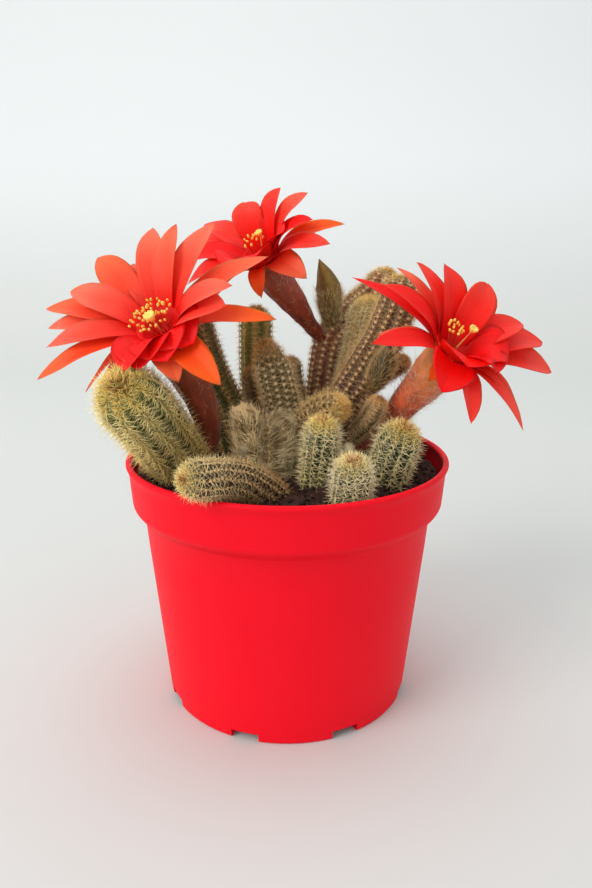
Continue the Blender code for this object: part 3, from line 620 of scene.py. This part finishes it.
POT_HEIGHT = 81.8
POT_LIP_R = 52.4
POT_LIP_FLARE = 3.4
POT_LIP_BEAD = 1.0
POT_COLLAR_R = 51.5
POT_SHOULDER_TOP_Z = 69.2
POT_SHOULDER_R = 50.8
POT_SHOULDER_ROUND = 3.2
POT_NECK_Z = 64.3
POT_NECK_R = 47.2
POT_FOOT_R = 41.0
POT_FOOT_ROUND = 0.9
POT_WALL = 1.3
POT_BASE = 1.4
POT_COLUMNS = 180
POT_SHARP_DEG = 32
NOTCH_COUNT = 8
NOTCH_WIDTH = 9.0
NOTCH_HEIGHT = 3.0
NOTCH_DEPTH = 6.0
NOTCH_FIRST_DEG = 27.0
POT_RED = linear((246, 14, 36))
# painted shade: a deep red for the inside wall over the soil, where shade falls
POT_PAINTED_SHADE_RED = linear((112, 6, 12))

SOIL_RINGS = 88
SOIL_COLUMNS = 220
SOIL_R = 49.0
SOIL_FOOT_Z = POT_BASE + 0.3
SOIL_UNDER = ((33.0, SOIL_FOOT_Z), (39.0, 5.0), (44.8, 63.0))
SOIL_DARK = (60, 32, 22)
SOIL_BITS = (((76, 43, 29), 640, 0.75), ((44, 22, 15), 700, 0.95), ((110, 70, 46), 220, 0.6),
             ((184, 158, 128), 34, 0.5))  # colour, number and size of crumbs, bark and pale grains


def arc(centre, radius, start_deg, end_deg, steps):
    angles = np.radians(np.linspace(start_deg, end_deg, steps))
    return [(centre[0] + radius * math.cos(a), centre[1] + radius * math.sin(a)) for a in angles]


def pot_profile():
    """(radius, height) from the base's centre out, up the outside, over the lip and down the inside."""
    foot, shoulder, bead = POT_FOOT_ROUND, POT_SHOULDER_ROUND, POT_LIP_BEAD
    flare_z = POT_HEIGHT - POT_LIP_FLARE
    outside = [(0, 0), (POT_FOOT_R - 2.5, 0)]
    outside += arc((POT_FOOT_R - foot, foot), foot, -90, 0, 5)
    outside += [(POT_FOOT_R + (POT_NECK_R - POT_FOOT_R) * k / 6, foot + (POT_NECK_Z - 1.7) * k / 6)
                for k in range(1, 6)]
    outside += [(POT_NECK_R - 0.1, POT_NECK_Z - 0.5), (POT_NECK_R + 0.25, POT_NECK_Z),
                (POT_NECK_R + 1.0, POT_NECK_Z + 0.6)]
    outside += arc((POT_SHOULDER_R - shoulder, POT_SHOULDER_TOP_Z - 0.4), shoulder, -52, 0, 7)
    outside += [(POT_COLLAR_R - 0.05, flare_z - 0.8), (POT_COLLAR_R + 0.05, flare_z),
                (POT_COLLAR_R + 0.35, POT_HEIGHT - 2.5)]
    outside += arc((POT_LIP_R - bead, POT_HEIGHT - bead), bead, -35, 150, 12)
    inside = [(POT_COLLAR_R - POT_WALL, POT_HEIGHT - 1.4), (POT_COLLAR_R - 1.1 * POT_WALL, SOIL_Z - 5.5),
              (POT_SHOULDER_R - POT_WALL, POT_SHOULDER_TOP_Z), (POT_NECK_R - POT_WALL, POT_NECK_Z),
              (POT_FOOT_R - POT_WALL + 0.1, POT_BASE), (0, POT_BASE)]
    return outside + inside


def cut_notches(pot):
    """Cut the drain notches round the foot with one applied Boolean."""
    boxes = Shape()
    corners = np.array([(x, y, z) for x in (-0.5, 0.5) for y in (-0.5, 0.5) for z in (-0.5, 0.5)])
    sides = [(0, 1, 3), (0, 3, 2), (4, 6, 7), (4, 7, 5), (0, 4, 5), (0, 5, 1), (2, 3, 7), (2, 7, 6),
             (0, 2, 6), (0, 6, 4), (1, 5, 7), (1, 7, 3)]
    x, y, z = (corners * [NOTCH_DEPTH + 6, NOTCH_WIDTH, 2 * NOTCH_HEIGHT] + [POT_FOOT_R, 0, 0]).T
    for index in range(NOTCH_COUNT):
        angle = math.radians(NOTCH_FIRST_DEG + 360 * index / NOTCH_COUNT)
        c, s = math.cos(angle), math.sin(angle)
        boxes.add(np.stack([x * c - y * s, x * s + y * c, z], -1), sides, POT_RED)
    cutter = boxes.piece("notch_cutter", POT, "pot")
    modifier = pot.modifiers.new("notches", "BOOLEAN")
    modifier.operation = "DIFFERENCE"
    modifier.solver = "EXACT"
    modifier.object = cutter
    bpy.context.view_layer.update()
    graph = bpy.context.evaluated_depsgraph_get()
    cut = bpy.data.meshes.new_from_object(pot.evaluated_get(graph))
    pot.modifiers.remove(modifier)
    pot.data = cut
    bpy.data.objects.remove(cutter, do_unlink=True)


def colour_pot(mesh):
    """Bright red all over, with painted shade: deep red on the part of the inside that shows over the soil.
    """
    points = np.array([vertex.co for vertex in mesh.vertices]) / MM
    away = np.hypot(points[:, 0], points[:, 1])
    inside = (points[:, 2] > SOIL_Z - 5) & (away < POT_COLLAR_R - 0.75 * POT_WALL)
    rgba = np.ones((len(points), 4), np.float32)
    # painted shade on the inside wall over the soil
    rgba[:, :3] = np.where(inside[:, None], POT_PAINTED_SHADE_RED, POT_RED)
    mesh.color_attributes["tint"].data.foreach_set("color", rgba.ravel())


def build_pot():
    profile = np.array(pot_profile())
    rings = profile[1:-1]
    points = turned(rings[:, :1], turns(POT_COLUMNS), rings[:, 1:])
    points = np.vstack([points, [[0, 0, POT_BASE]], [[0, 0, 0]]])
    shape = Shape()
    shape.add(points, skin(len(rings), POT_COLUMNS, tip=True, base=True), POT_RED)
    pot = shape.piece("pot_shell", POT, "pot", ["pot"])
    cut_notches(pot)
    colour_pot(pot.data)
    pot.data.shade_smooth()
    pot.data.set_sharp_from_angle(angle=math.radians(POT_SHARP_DEG))


def soil_lump(x, y):
    """The packed soil's own gentle rise and fall."""
    wave = np.sin(x * 0.37 + 1.0) * np.sin(y * 0.41 + 2.0)
    return 1.1 * (wave + 0.5 * np.sin(x * 0.9) * np.sin(y * 0.8))


def build_soil():
    radius = np.append(np.linspace(0.5, SOIL_R - 0.2, SOIL_RINGS), SOIL_R)
    r, a = grid(radius[::-1], SOIL_COLUMNS)
    x, y = r * np.cos(a), r * np.sin(a)
    grain = np.zeros_like(x)
    for step in range(1, 5):
        k = 0.9 * 2**step * 0.62
        p = rng.uniform(0, 6.3, 4)
        across = np.sin(k * x + p[0] + 2 * np.sin(0.5 * k * y + p[1]))
        grain += 0.5 / step * across * np.sin(k * y + p[2] + 2 * np.sin(0.6 * k * x + p[3]))
    z = SOIL_Z + soil_lump(x, y) + 0.45 * grain + rng.normal(0, 0.12, x.shape)
    z[0] = POT_SHOULDER_TOP_Z + 0.8
    under = [turned(level_r, turns(SOIL_COLUMNS), level_z) for level_r, level_z in SOIL_UNDER]
    points = np.vstack([*under, turned(r, a, z), [[0, 0, SOIL_Z]], [[0, 0, SOIL_FOOT_Z]]])
    tint = linear(SOIL_DARK) * rng.uniform(0.55, 1.5, (len(points), 1))
    shape = Shape()
    shape.add(points, skin(len(under) + len(radius), SOIL_COLUMNS, tip=True, base=True), tint)
    for colour, number, size in SOIL_BITS:
        for _ in range(number):
            away = 47.5 * math.sqrt(rng.uniform(0, 1))
            turn = rng.uniform(0, TURN)
            px, py = away * math.cos(turn), away * math.sin(turn)
            axes = np.linalg.qr(rng.normal(size=(3, 3)))[0] * (size * rng.uniform(0.45, 1.1, (3, 1)))
            pz = SOIL_Z + float(soil_lump(px, py)) + rng.uniform(-0.1, 0.5)
            lump(shape, (px, py, pz), axes, linear(colour) * rng.uniform(0.7, 1.2), 4, 6, 0.25)
    shape.piece("soil_fill", SOIL, "soil", ["soil"])


# Flowers

CUP_DEPTH = 7.0
THROAT = ((6.9, -1.6), (6.5, -1.2), (5.2, -3.4), (3.4, -5.6), (1.6, -6.3))  # (radius, height)
THROAT_FLOOR = -6.4
THROAT_RED = (232, 16, 12)
PETAL_ROOT_R = 5.0
PETAL_ROOT_DEPTH = 4.2
PETAL_BEND_R = 9.0
PETAL_ARCH = 4.5
PETAL_T = (0, 0.12, 0.25, 0.4, 0.55, 0.68, 0.78, 0.87, 0.94, 0.98, 1)
PETAL_W = (0.62, 0.74, 0.88, 1.0, 1.06, 1.0, 0.86, 0.63, 0.36, 0.18, 0.02)
PETAL_DEEP = ((232, 5, 5), (242, 20, 10), (230, 26, 4))  # red, coral and orange petals, near the root
PETAL_FULL = ((251, 9, 8), (254, 70, 50), (248, 58, 3))
PETAL_FAR = ((253, 22, 18), (255, 112, 86), (252, 88, 10))
PETAL_UNDER = ((232, 40, 26), (236, 128, 76))
PETAL_DRY = (150, 90, 40)
LIP_PETALS = 3
TUBE_HAIR = (255, 240, 214)
FILAMENT = ((196, 16, 18), (232, 84, 50))
ANTHER = ((250, 178, 52), (255, 224, 110))
STYLE = ((214, 190, 100), (240, 214, 120))
STIGMA = (252, 222, 110)
STIGMA_LOBES = 9


class Blossom:
    """One open flower: tube, throat, petals, stamens and stigma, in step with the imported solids.

    A petal is (azimuth, reach, lift, width, orange): its tip's direction in degrees, clockwise from the
    top as seen from in front, its distance out from and above the rim's centre, its width, and how orange
    it is. The lip's petals lie between two such directions, and the rest of its row is the same for all.
    The heads are the stamens' (spread, height, number, right, up), the stigma (right, up, height, size).
    """

    def __init__(self, centre, axis, tube, tube_radii, tube_tint, petals, lip, hue, heads, stigma,
                 tube_hairs):
        self.centre = np.array(centre, float)
        self.axis = unit(np.array(axis, float))
        self.right = unit(np.cross([0, 0, 1.0], self.axis))
        self.up = np.cross(self.axis, self.right)
        self.tube_line = Line([*tube, self.centre - CUP_DEPTH * self.axis, self.centre - 2.0 * self.axis])
        self.tube_radii = tube_radii
        self.tube_tint = tube_tint
        first, last, *form = lip
        self.petals = petals + [(first + (last - first) * index / (LIP_PETALS - 1), *form)
                                for index in range(LIP_PETALS)]
        self.tube_hairs = tube_hairs
        self.hue = hue
        self.heads = heads
        self.stigma = stigma

    def tube_surface(self, fraction, angle):
        knots = np.linspace(0, 1, len(self.tube_radii))
        radius = np.interp(fraction, knots, self.tube_radii)
        ridge = 0.03 * np.sin(7 * angle + 9 * fraction) + 0.02 * np.sin(11 * angle - 30 * fraction)
        return self.tube_line.around(fraction, angle, radius * (1 + ridge))

    def tube(self, name):
        rows, columns = 46, 36
        f, a = grid(np.linspace(0, 1, rows), columns)
        place, _, _ = self.tube_surface(f, a)
        tint = blend(self.tube_tint, f)
        tint = tint * (1 + 0.18 * np.sin(5 * a + 11 * f)[..., None] * np.sin(13 * f - 2 * a)[..., None])
        shape = Shape()
        points = np.vstack([place.reshape(-1, 3), place[:1].mean(1)])
        tint = np.vstack([tint.reshape(-1, 3), tint[0, :1]])
        shape.add(points, skin(rows, columns, base=True), tint)
        hair = Shape()
        n = self.tube_hairs
        f = rng.uniform(0.03, 0.86, n)
        place, outward, along = self.tube_surface(f, rng.uniform(0, TURN, n))
        side = np.cross(along, outward)
        wild = jitter(n, 3)
        direction = unit(0.55 * outward + 0.5 * along + 0.6 * along * wild[:, :1] + side * wild[:, 1:2])
        curl = 1.8 * side * wild[:, 2:] + 1.3 * along * jitter(n, 1) - 0.5 * outward
        tint = linear(TUBE_HAIR) * rng.uniform(0.75, 1.1, (n, 1))
        spikes(hair, place, direction, rng.uniform(1.8, 3.8, n), curl, 0.045, tint, tint, 4)
        shape.piece("skin_" + name, TUBE, "tube", [name])
        hair.piece("hairs_" + name, HAIR, "tube")

    def petal(self, shape, index, azimuth, reach, lift, width, orange):
        angle = math.radians(azimuth)
        out = math.sin(angle) * self.right + math.cos(angle) * self.up
        side = np.cross(self.axis, out)
        root = self.centre + PETAL_ROOT_R * out - PETAL_ROOT_DEPTH * self.axis
        bend = self.centre + max(0.45 * reach, PETAL_BEND_R) * out + (PETAL_ARCH + 0.5 * lift) * self.axis
        tip = self.centre + reach * out + lift * self.axis
        t = np.linspace(0, 1, 30) ** 0.9
        across = np.linspace(-1, 1, 11)
        tt = t[:, None]
        line = (1 - tt) ** 2 * root + 2 * tt * (1 - tt) * bend + tt**2 * tip
        along = unit(2 * (1 - tt) * (bend - root) + 2 * tt * (tip - bend))
        twist = rng.uniform(-0.18, 0.18) * tt
        flat = unit(side * np.cos(twist) + np.cross(along, side) * np.sin(twist))
        normal = unit(np.cross(along, flat))
        half = 0.5 * width * np.interp(t, PETAL_T, PETAL_W)[:, None]
        wave = rng.uniform(0, 6.3, 2)
        u = across[None, :]
        lift_up = 0.24 * half * u**2 - 0.16 * half / 4 * np.exp(-(u / 0.16) ** 2)
        lift_up += 0.22 * np.sin(7.5 * tt + wave[0]) * u * np.abs(u) * smoothstep(0.2, 0.7, tt)
        lift_up += 0.12 * np.sin(13 * tt + wave[1]) * u**2 * smoothstep(0.3, 0.8, tt)
        thick = 0.2 * (1 - 0.75 * np.abs(u) ** 3) * (1 - 0.5 * tt)
        centre = line[:, None] + (half * u)[..., None] * flat[:, None]
        top = centre + (lift_up + thick)[..., None] * normal[:, None]
        under = centre + (lift_up - thick)[..., None] * normal[:, None]
        ring = np.concatenate([top, under[:, -2:0:-1]], 1)
        columns = ring.shape[1]
        points = np.vstack([ring.reshape(-1, 3), tip + 0.5 * along[-1]])
        place_t, place_u = np.meshgrid(t, np.concatenate([across, across[-2:0:-1]]), indexing="ij")
        tint = self.petal_tint(place_t, place_u, np.arange(columns) >= len(across), orange)
        tint = np.vstack([tint.reshape(-1, 3), tint[-1, :1]])
        place = np.stack([place_t, place_u, np.full(place_t.shape, 0.37 * index)], -1).reshape(-1, 3)
        place = np.vstack([place, place[-1:]])
        shape.add(points, skin(len(t), columns, tip=True), tint, place)

    def petal_tint(self, t, u, is_under, orange):
        """Deep at the root, full in the middle and paler far out, with a paler underside and a dry tip."""
        hue = np.clip(self.hue + orange + rng.uniform(-0.06, 0.06), 0, 1)
        tint = mixed(blend(PETAL_DEEP, hue), blend(PETAL_FULL, hue), smoothstep(0.12, 0.5, t)[..., None])
        far = smoothstep(0.5, 1.0, t + 0.12 * np.abs(u))[..., None]
        tint = mixed(tint, blend(PETAL_FAR, hue), far)
        tint = mixed(tint, blend(PETAL_UNDER, hue), 0.55 * is_under[None, :, None])
        end = smoothstep(0.93, 1.0, t)[..., None] * (0.2 + 0.6 * orange)
        return mixed(tint, linear(PETAL_DRY), end)

    def throat(self, shape):
        """The funnel that the petals rise from."""
        columns = 40
        out = round_about(turns(columns), self.right, self.up)
        profile = ((self.tube_radii[-1] - 0.2, -2.4), *THROAT)
        rows = [self.centre + radius * out + height * self.axis for radius, height in profile]
        points = np.vstack([*rows, self.centre + THROAT_FLOOR * self.axis])
        shape.add(points, skin(len(rows), columns, tip=True), linear(THROAT_RED))

    def corolla(self, name):
        shape = Shape()
        self.throat(shape)
        for index, row in enumerate(self.petals):
            self.petal(shape, index, *row)
        shape.piece("fine_" + name, PETAL, "petals", [name])

    def stamens(self, name):
        shape = Shape()
        spread_to, head_height, count, drift_right, drift_up = self.heads
        index = np.arange(count)
        share = np.sqrt((index + 2.0) / (count + 2.0))
        out = round_about(np.radians(360 * GOLDEN * index), self.up, self.right)
        height = head_height + 1.2 * (1 - share**2) + rng.uniform(-0.7, 0.7, count)
        spread = spread_to * share * rng.uniform(0.75, 1.08, count)
        middle = self.centre + (drift_right * self.right + drift_up * self.up)
        head = middle + spread[:, None] * out + height[:, None] * self.axis
        root = self.centre + (0.5 * spread)[:, None] * out - 5.0 * self.axis
        rise = head - root
        length = np.linalg.norm(rise, axis=1)
        spikes(shape, root, rise - 0.9 * out, length, 0.9 * out, 0.16, *linear(FILAMENT), 5)
        for k in range(count):
            up = unit(rise[k] + 0.5 * length[k] * jitter(3))
            size = rng.uniform(0.8, 1.15)
            bead(shape, head[k] + 0.3 * up, up, out[k] + 0.3 * self.right, 0.62 * size, 0.42 * size,
                 blend(ANTHER, rng.uniform(0, 1)), 5, 7, 0.08)
        self.pistil(shape)
        shape.piece("fine_" + name, STAMEN, "stamens", [name])

    def pistil(self, shape):
        """The style, and the stigma's ring of lobes on it."""
        foot = self.centre - 5.5 * self.axis
        right, up, height, size = self.stigma
        top = self.centre + (right * self.right + up * self.up) + height * self.axis
        rise = (top - foot)[None]
        length = np.linalg.norm(rise) * 1.05
        spikes(shape, foot[None], rise, length, np.zeros((1, 3)), 0.5, *linear(STYLE), 6)
        for around in round_about(turns(STIGMA_LOBES), self.right, self.up):
            out = unit(self.axis + 0.75 * around)
            centre = top + 0.75 * size * out
            bead(shape, centre, out, around, 1.3 * size, 0.5 * size, linear(STIGMA), 6, 7, 0.04)

    def build(self, name):
        self.tube(name + "_tube")
        self.corolla(name + "_petals")
        self.stamens(name + "_stamens")


BLOSSOMS = {
    "flower_left": Blossom(
        (-38, -20, 127), (-0.31, -0.57, 0.76),
        [(-28.5, -9, 82), (-25, -7.5, 89), (-26.5, -10, 100), (-31, -13, 112)],
        (3.0, 3.9, 5.0, 6.8, 7.0), ((112, 42, 16), (138, 52, 22), (156, 74, 38)),
        [(335, 33, 8, 8.5, 0.1), (354, 29, 10, 8, 0.1), (14, 33, 8, 9, 0.05), (302, 35, 6, 10, 0.3),
         (317, 28, 2, 8, 0), (276, 31, 6, 9, 0), (268, 40, 3, 8.5, 0.3), (260, 38, 0, 8.5, 0.05),
         (243, 34, 2, 7.5, -0.2), (231, 39, -2, 7, 0.3), (225, 29, -11, 4, 0.4), (216, 27.5, -14, 7, 0),
         (178, 19.5, 0, 14, -0.6), (140, 21, -7, 9, 0.35), (130, 9, -14, 4, 0.8), (119, 30, -8, 9, 0.6),
         (80, 24, 3, 12, -0.3), (76, 35, -6, 7.5, 0.7), (70, 26, 6, 8, -0.1), (37, 38, -3, 9, 0.2)],
        lip=(112, 168, 18, -1, 17, -1), hue=0.5, heads=(7.0, 2.0, 44, 0, -0.6),
        stigma=(2.5, -3.1, 3.4, 1.35), tube_hairs=110),
    "flower_back": Blossom(
        (-10, 12, 146), (-0.41, -0.51, 0.75),
        [(13, 25, 115), (8.5, 22.5, 119.5), (1, 17.5, 130), (-4.5, 15.5, 137)],
        (2.2, 2.7, 4.4, 5.6, 6.2), ((122, 44, 20), (152, 58, 28), (160, 74, 38)),
        [(325, 15, 9, 10, 0), (12, 18, 10, 8.5, 0), (44, 22, 9, 8, 0.1), (71, 22, 6, 8, -0.3),
         (66, 30, 0, 6.5, 0.8), (83, 27, 0, 7.5, 0), (105, 21, -6, 9, 0.6), (150, 18, -5, 6, 0.85),
         (200, 24, -3, 8, 0.35), (230, 26, 0, 8, 0), (255, 28, 2, 8, -0.1), (277, 32, 0, 8, 0),
         (290, 34, 1, 8, 0)],
        lip=(85, 190, 13.5, 6, 12, -1), hue=0.15, heads=(3.6, 3.0, 14, -0.8, 1.3),
        stigma=(1.9, 2.4, 4.0, 1.0), tube_hairs=176),
    "flower_right": Blossom(
        (51, -15, 120), (0.43, -0.49, 0.76),
        [(22, -0.5, 83), (29, 0, 87), (33, -0.5, 91), (37.5, -2, 98.5), (43.5, -6, 107)],
        (2.4, 3.4, 5.0, 6.6, 6.9), ((172, 64, 32), (210, 92, 54), (212, 140, 80)),
        [(321, 37, 0, 5.5, -0.1), (315, 29, 5, 8, -0.1), (345, 29, 4, 5.5, 0.4), (352, 26, 8, 8, 0),
         (8, 22, 11, 9.5, 0), (50, 18, 12, 10.5, 0), (93, 24, 7, 9.5, 0), (103, 33, 4, 11, 0),
         (117, 36, 0, 11.5, 0.1), (110, 34, -2, 8, 0.2), (165, 31, -6, 7.5, 0.1), (153, 27, -6, 5, 0.2),
         (205, 26, -6, 7.5, 0), (232, 21, -4, 14, -1), (280, 32, -2, 7.5, -0.1), (294, 26, -5, 5, 0.5),
         (243, 9, -11, 5, 0.95)],
        lip=(128, 222, 15, 3.5, 16, -1), hue=0.1, heads=(3.2, 3.2, 16, -2.4, 2.8),
        stigma=(2.6, 0.5, 4.0, 1.1), tube_hairs=990),
}


# Buds and wool

BUD_T = (0.0, 0.17, 0.31, 0.46, 0.66, 0.84, 1.0)
BUD_W = (0.45, 0.6, 0.82, 0.97, 1.0, 0.58, 0.02)
BUD_FLATS = 4
WOOL_TUFTS = 90
WOOL_STRANDS = 1700
WOOL_TINTS = ((118, 106, 76), (255, 252, 234))


def build_bud(name, points, radius, tints, hair_tint, hair_end, hair_length, number):
    """A closed bud with soft flats, and hairs up to a fraction of its length."""
    line = Line(points)
    rows, columns = 30, 32
    f, a = grid(np.linspace(0, 1, rows), columns)

    def girth(f, a):
        flats = 0.14 * (0.5 + 0.5 * np.cos(BUD_FLATS * (a + 1.1 * f)))
        return radius * np.interp(f, BUD_T, BUD_W) * (1 - flats * smoothstep(0.2, 0.6, f))

    place, _, _ = line.around(f, a, girth(f, a))
    tint = blend(tints, smoothstep(0.35, 0.65, f))
    tint = tint * (0.8 + 0.35 * (0.5 + 0.5 * np.cos(BUD_FLATS * (a + 1.1 * f) + 1.0)))[..., None]
    shape = Shape()
    points = np.vstack([place.reshape(-1, 3), line.at(1.0), line.at(0.0)])
    tint = np.vstack([tint.reshape(-1, 3), tint[-1, :1], tint[0, :1]])
    shape.add(points, skin(rows, columns, tip=True, base=True), tint)
    shape.piece("skin_" + name, SKIN, "bud", [name])
    hair = Shape()
    f = rng.uniform(0.05, hair_end, number)
    a = rng.uniform(0, TURN, number)
    place, outward, along = line.around(f, a, girth(f, a) - 0.1)
    around = np.cross(along, outward)
    wild = jitter(number, 2)
    direction = unit(0.5 * outward + 0.7 * along + 0.9 * around * wild[:, :1])
    bend = hair_length * (0.4 * outward * wild[:, 1:] - 0.9 * around * wild[:, :1] + 0.15 * along)
    tint = linear(hair_tint) * rng.uniform(0.7, 1.1, (number, 1))
    length = hair_length * rng.uniform(0.6, 1.15, number)
    spikes(hair, place, direction, length, bend, 0.07, tint, tint * 1.05, 3)
    hair.piece("hairs_" + name, HAIR, "bud")


def build_wool(name, sweep, light):
    """Long silky strands in tufts over a young shoot: they sweep one way, and some of them stray."""
    finger = FINGERS[name]
    tuft = rng.integers(0, WOOL_TUFTS, WOOL_STRANDS)
    f = rng.uniform(0.25, 1.0, WOOL_TUFTS)[tuft] + 0.03 * rng.normal(size=WOOL_STRANDS)
    f = np.clip(f, 0.2, 0.995)
    a = rng.uniform(0, TURN, WOOL_TUFTS)[tuft] + 0.25 * rng.normal(size=WOOL_STRANDS)
    own_way = 0.6 * jitter(WOOL_TUFTS, 3)[tuft]
    place, outward, along, _ = finger.surface(f, a)
    keep = place[:, 2] > SOIL_Z
    f, place, outward, along, own_way = f[keep], place[keep], outward[keep], along[keep], own_way[keep]
    n = len(f)
    normal, _ = over_crown(finger.rise(f), outward, along)
    stray = rng.uniform(0, 1, (n, 1)) ** 2
    flow = np.array(sweep, float) + own_way + (0.2 + 0.8 * stray) * jitter(n, 3)
    flow = unit(flow - np.sum(flow * normal, 1)[:, None] * normal)
    length = rng.uniform(4.2, 7.8, n)
    direction = unit(flow + (0.45 + 0.9 * stray) * normal)
    hug = -(length**2 / (3.4 * finger.radius))[:, None] * normal
    bend = hug + (0.6 + 1.8 * stray) * jitter(n, 3)
    # painted light: light brightens every strand's tint, more on the left shoot than on the right
    tint = light * STRAW * blend(WOOL_TINTS, rng.uniform(0, 1, n))
    hair = Shape()
    spikes(hair, place, direction, length, bend, 0.07, tint * 0.6, tint * 1.4, 6)
    hair.piece("wool_" + name, HAIR, "wool")


# The room

PAPER_LOW = (211, 213, 210)
# painted light: the backdrop's paper is paler than the floor's, standing in for the light that falls on it
PAPER_PAINTED_LIGHT = (228, 231, 231)
CAMERA_PLACE = (2.85, -233.5, 149.66)
CAMERA_PITCH = 0.2724
CAMERA_ROLL = 0.0050
CAMERA_YAW = 0.0019
CAMERA_LENS = 29.82
SENSOR_WIDTH = 36.0


def area_light(name, place, target, size, energy, colour=(1, 1, 1)):
    light = bpy.data.lights.new(name, "AREA")
    light.shape = "DISK"
    light.size = size
    light.energy = energy
    light.color = colour
    obj = add_object(name, light)
    obj.location = place
    obj.rotation_euler = (Vector(target) - Vector(place)).to_track_quat("-Z", "Y").to_euler()


def build_room():
    """A pale floor that curves up into the backdrop, in metres."""
    half, front, back, bend, top = 1.6, -1.6, 1.1, 0.5, 2.2
    profile = [(front, 0.0)]
    profile += [(back - bend + bend * math.sin(t), bend - bend * math.cos(t))
                for t in np.linspace(0, math.pi / 2, 16)]
    profile += [(back, top)]
    vertices = [(x, y, z) for y, z in profile for x in (-half, half)]
    faces = [(2 * k, 2 * k + 1, 2 * k + 3, 2 * k + 2) for k in range(len(profile) - 1)]
    mesh = bpy.data.meshes.new("floor")
    mesh.from_pydata(vertices, [], faces)
    mesh.shade_smooth()
    mesh.materials.append(paper_material())
    floor = add_object("floor", mesh)


def paper_material():
    """Matt paper, with painted light: a little paler up the backdrop than on the floor."""
    material, tree = new_material("floor_paper")
    place = add_node(tree, "TexCoord", "Object", {})
    up = add_node(tree, "SeparateXYZ", "Z", {"Vector": place})
    # painted light: the paper grows paler with height
    height = add_node(tree, "MapRange", "Result", {"From Max": 0.3, "To Max": 1.0, "Value": up},
                      interpolation_type="SMOOTHSTEP")
    ends = {"A": (*linear(PAPER_LOW), 1), "B": (*linear(PAPER_PAINTED_LIGHT), 1)}
    paper = add_node(tree, "Mix", "Result", {**ends, "Factor": height}, data_type="RGBA")
    shade(tree, {"Roughness": 0.9, "Specular IOR Level": 0.1, "Base Color": paper})
    return material


def build_lights():
    world = bpy.data.worlds.new("studio")
    bpy.context.scene.world = world
    world.use_nodes = True
    tree = world.node_tree
    fill(tree, tree.nodes["Background"], {"Color": (0.97, 0.985, 1.0, 1), "Strength": 0.78})
    area_light("key", place=(-1.0, -0.75, 0.8), target=(0, 0, 0.08), size=0.9, energy=11.0,
               colour=(1.0, 0.985, 0.96))
    area_light("backdrop", place=(0, 0.35, 1.6), target=(0, 1.1, 0.5), size=1.2, energy=6.0)


def build_camera():
    camera = bpy.data.cameras.new("camera")
    camera.sensor_width = SENSOR_WIDTH
    camera.lens = CAMERA_LENS
    camera.clip_start = 0.01
    obj = add_object("camera", camera)
    obj.location = [MM * value for value in CAMERA_PLACE]
    obj.rotation_mode = "XYZ"
    obj.rotation_euler = (math.pi / 2 - CAMERA_PITCH, -CAMERA_ROLL, CAMERA_YAW)
    bpy.context.scene.camera = obj


build_camera()
build_room()
build_lights()
bpy.context.scene.view_settings.view_transform = "Standard"
build_pot()
build_soil()
for finger_name, finger in FINGERS.items():
    finger.build(finger_name)
# painted light: each shoot's wool is brightened by its own light
build_wool("woolly_shoot_left", sweep=(-0.45, -0.1, 0.9), light=2.3)
build_wool("woolly_shoot_right", sweep=(0.75, -0.1, 0.7), light=1.3)
for blossom_name, blossom in BLOSSOMS.items():
    blossom.build(blossom_name)
build_bud("bud_pointed", [(16, 26.6, 117), (14.4, 23, 125), (13.2, 21, 134.5), (10.1, 21, 143.2)], 4.3,
          tints=((118, 94, 42), (134, 104, 26)), hair_tint=(255, 232, 178), hair_end=0.62,
          hair_length=3.0, number=1100)
build_bud("bud_hairy", [(23.5, -1, 101.5), (27, -3, 105), (29.8, -6, 111.3), (31.5, -8, 119)], 3.8,
          tints=((84, 60, 24), (60, 54, 16)), hair_tint=(240, 202, 138), hair_end=0.9,
          hair_length=3.0, number=1000)
